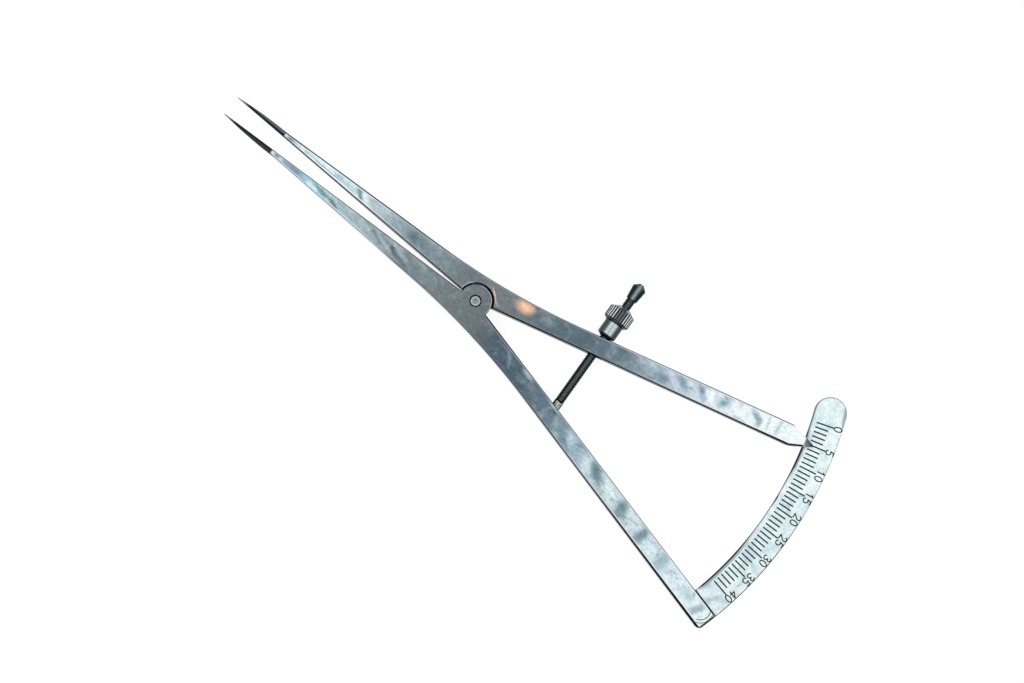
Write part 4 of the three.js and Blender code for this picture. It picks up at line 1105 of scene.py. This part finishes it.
def rounded(points):
    """The same stroke with more points, through a smooth curve, if it has more than two."""
    if len(points) < 3:
        return points
    closed = points[0] == points[-1]
    before = points[-2] if closed else points[0]
    after = points[1] if closed else points[-1]
    ring = [before] + points + [after]
    made = []
    for corners in zip(ring, ring[1:], ring[2:], ring[3:]):
        for k in range(CURVE_STEPS):
            made.append(tuple(eased(*axis, k / CURVE_STEPS) for axis in zip(*corners)))
    return made + [points[-1]]


def stroke(mesh, points, width):
    """A flat ribbon of one width along the points, its ends run on a little."""
    points = [Vector(p) for p in points]
    start = (points[0] - points[1]).normalized() * width * RUN_ON
    end = (points[-1] - points[-2]).normalized() * width * RUN_ON
    points = [points[0] + start] + points[1:-1] + [points[-1] + end]
    corners = ((1, MARK_FOOT), (1, MARK_TOP), (-1, MARK_TOP), (-1, MARK_FOOT))
    rows = []
    for k, point in enumerate(points):
        ahead = points[min(k + 1, len(points) - 1)] - points[max(k - 1, 0)]
        side = Vector((-ahead.y, ahead.x)).normalized() * width / 2
        rows.append([mesh.verts.new((*(point + s * side), z)) for s, z in corners])
    skin(mesh, rows, len(corners), True)


def number(mesh, reading, centre, out, onward):
    """A mark's number, its digits side by side about one point."""
    text = str(reading)
    for index, digit in enumerate(text):
        shift = (index - (len(text) - 1) / 2) * DIGIT_PITCH + NUMBER_SHIFT.get(reading, 0)
        middle = centre + onward * shift
        for points in DIGITS[digit]:
            placed = []
            for u, v in rounded(points):
                across = onward * (u - 0.5) * DIGIT_WIDTH
                placed.append(middle + across + out * (v - 0.5) * DIGIT_HEIGHT)
            stroke(mesh, placed, DIGIT_STROKE)


def engraved_scale():
    mesh = bmesh.new()
    for reading in range(LAST_READING + 1):
        angle = mark_angle(reading)
        out = Vector((sin(angle), -cos(angle)))
        share = (mark_angle(0) - angle) / (mark_angle(0) - mark_angle(LAST_READING))
        start = MARK_START[0] + (MARK_START[1] - MARK_START[0]) * share
        major = reading % MAJOR_STEP == 0
        end = start + (MAJOR_LENGTH if major else MINOR_LENGTH)
        stroke(mesh, [out * start, out * end], STROKE)
        if major:
            onward = Vector((-cos(angle), -sin(angle)))
            number(mesh, reading, out * (start + DIGIT_OFFSET), out, onward)
    scale = object_from("engraved_scale", [mesh])
    surface = Surface("engraving_black")
    fill = ramp(surface.noise(3000), FILL_TONES)
    surface.paint(fill)
    surface.grain(4000, 0.5, 0.7, 0.1, 0.01 * MM)
    scale.data.materials.append(surface.material)
    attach(scale, "scale_arm")


engraved_scale()


# Floor, light and camera

FLOOR_SIZE = 6
FLOOR_GREY = 0.22
FLOOR_GLOW = 0.88
WORLD_GREYS = [(0, 0.12), (0.3, 0.3), (0.62, 0.78), (0.85, 1)]
# Each lamp's name, place, size and power
LAMPS = [("key", (-0.25, 0.3, 0.6), 0.35, 0.8), ("fill", (0.4, -0.2, 0.5), 0.5, 0.5)]
LAMP_AIM = Vector((0, -0.01, 0))
CAMERA_CLIP = (0.05, 20)


def white_floor():
    lowest = CAD_BOX[0][2]
    bpy.ops.mesh.primitive_plane_add(size=FLOOR_SIZE, location=(0, 0, lowest))
    floor = bpy.context.object
    floor.name = "floor"
    material = bpy.data.materials.new("white_floor")
    material.use_nodes = True
    tree = material.node_tree
    shader = tree.nodes["Principled BSDF"]
    shader.inputs["Base Color"].default_value = colour_of(FLOOR_GREY)
    shader.inputs["Roughness"].default_value = 0.9
    shader.inputs["Specular IOR Level"].default_value = 0.0
    path = add(tree, "LightPath").outputs
    seen = calc("MAXIMUM", path["Is Glossy Ray"], path["Is Transmission Ray"])
    seen = calc("MAXIMUM", path["Is Camera Ray"], seen)
    glow = join("Emission", {"Color": colour_of(1.0), "Strength": times(seen, FLOOR_GLOW)})
    total = add(tree, "AddShader")
    tree.links.new(shader.outputs[0], total.inputs[0])
    tree.links.new(glow.outputs[0], total.inputs[1])
    tree.links.new(total.outputs[0], tree.nodes["Material Output"].inputs["Surface"])
    floor.data.materials.append(material)


def white_world():
    world = bpy.data.worlds.new("studio")
    bpy.context.scene.world = world
    world.use_nodes = True
    tree = world.node_tree
    direction = add(tree, "TexCoord").outputs["Generated"]
    height = join("SeparateXYZ", {0: direction}).outputs[2]
    studio = ramp(height, WORLD_GREYS)
    path = add(tree, "LightPath")
    colour = mix(path.outputs["Is Camera Ray"], studio, 1.0)
    shader = tree.nodes["Background"]
    tree.links.new(colour, shader.inputs["Color"])
    shader.inputs["Strength"].default_value = 1.0


def soft_lamp(name, place, size, power):
    data = bpy.data.lights.new(name, "AREA")
    data.shape = "RECTANGLE"
    data.size, data.size_y = size, size
    data.energy = power
    lamp = bpy.data.objects.new(name, data)
    lamp.location = place
    lamp.rotation_euler = (LAMP_AIM - Vector(place)).to_track_quat("-Z", "Y").to_euler()
    bpy.context.scene.collection.objects.link(lamp)


def photo_camera():
    data = bpy.data.cameras.new("photo_camera")
    data.lens = CAMERA_LENS
    data.sensor_width = CAMERA_SENSOR
    data.sensor_fit = "HORIZONTAL"
    data.clip_start, data.clip_end = CAMERA_CLIP
    camera = bpy.data.objects.new("photo_camera", data)
    turn = Matrix((CAMERA_RIGHT, CAMERA_UP, CAMERA_BACK)).transposed()
    camera.matrix_world = Matrix.Translation(CAMERA_PLACE) @ turn.to_4x4()
    bpy.context.scene.collection.objects.link(camera)
    bpy.context.scene.camera = camera


white_floor()
white_world()
for lamp in LAMPS:
    soft_lamp(*lamp)
photo_camera()
bpy.context.scene.view_settings.view_transform = "Standard"
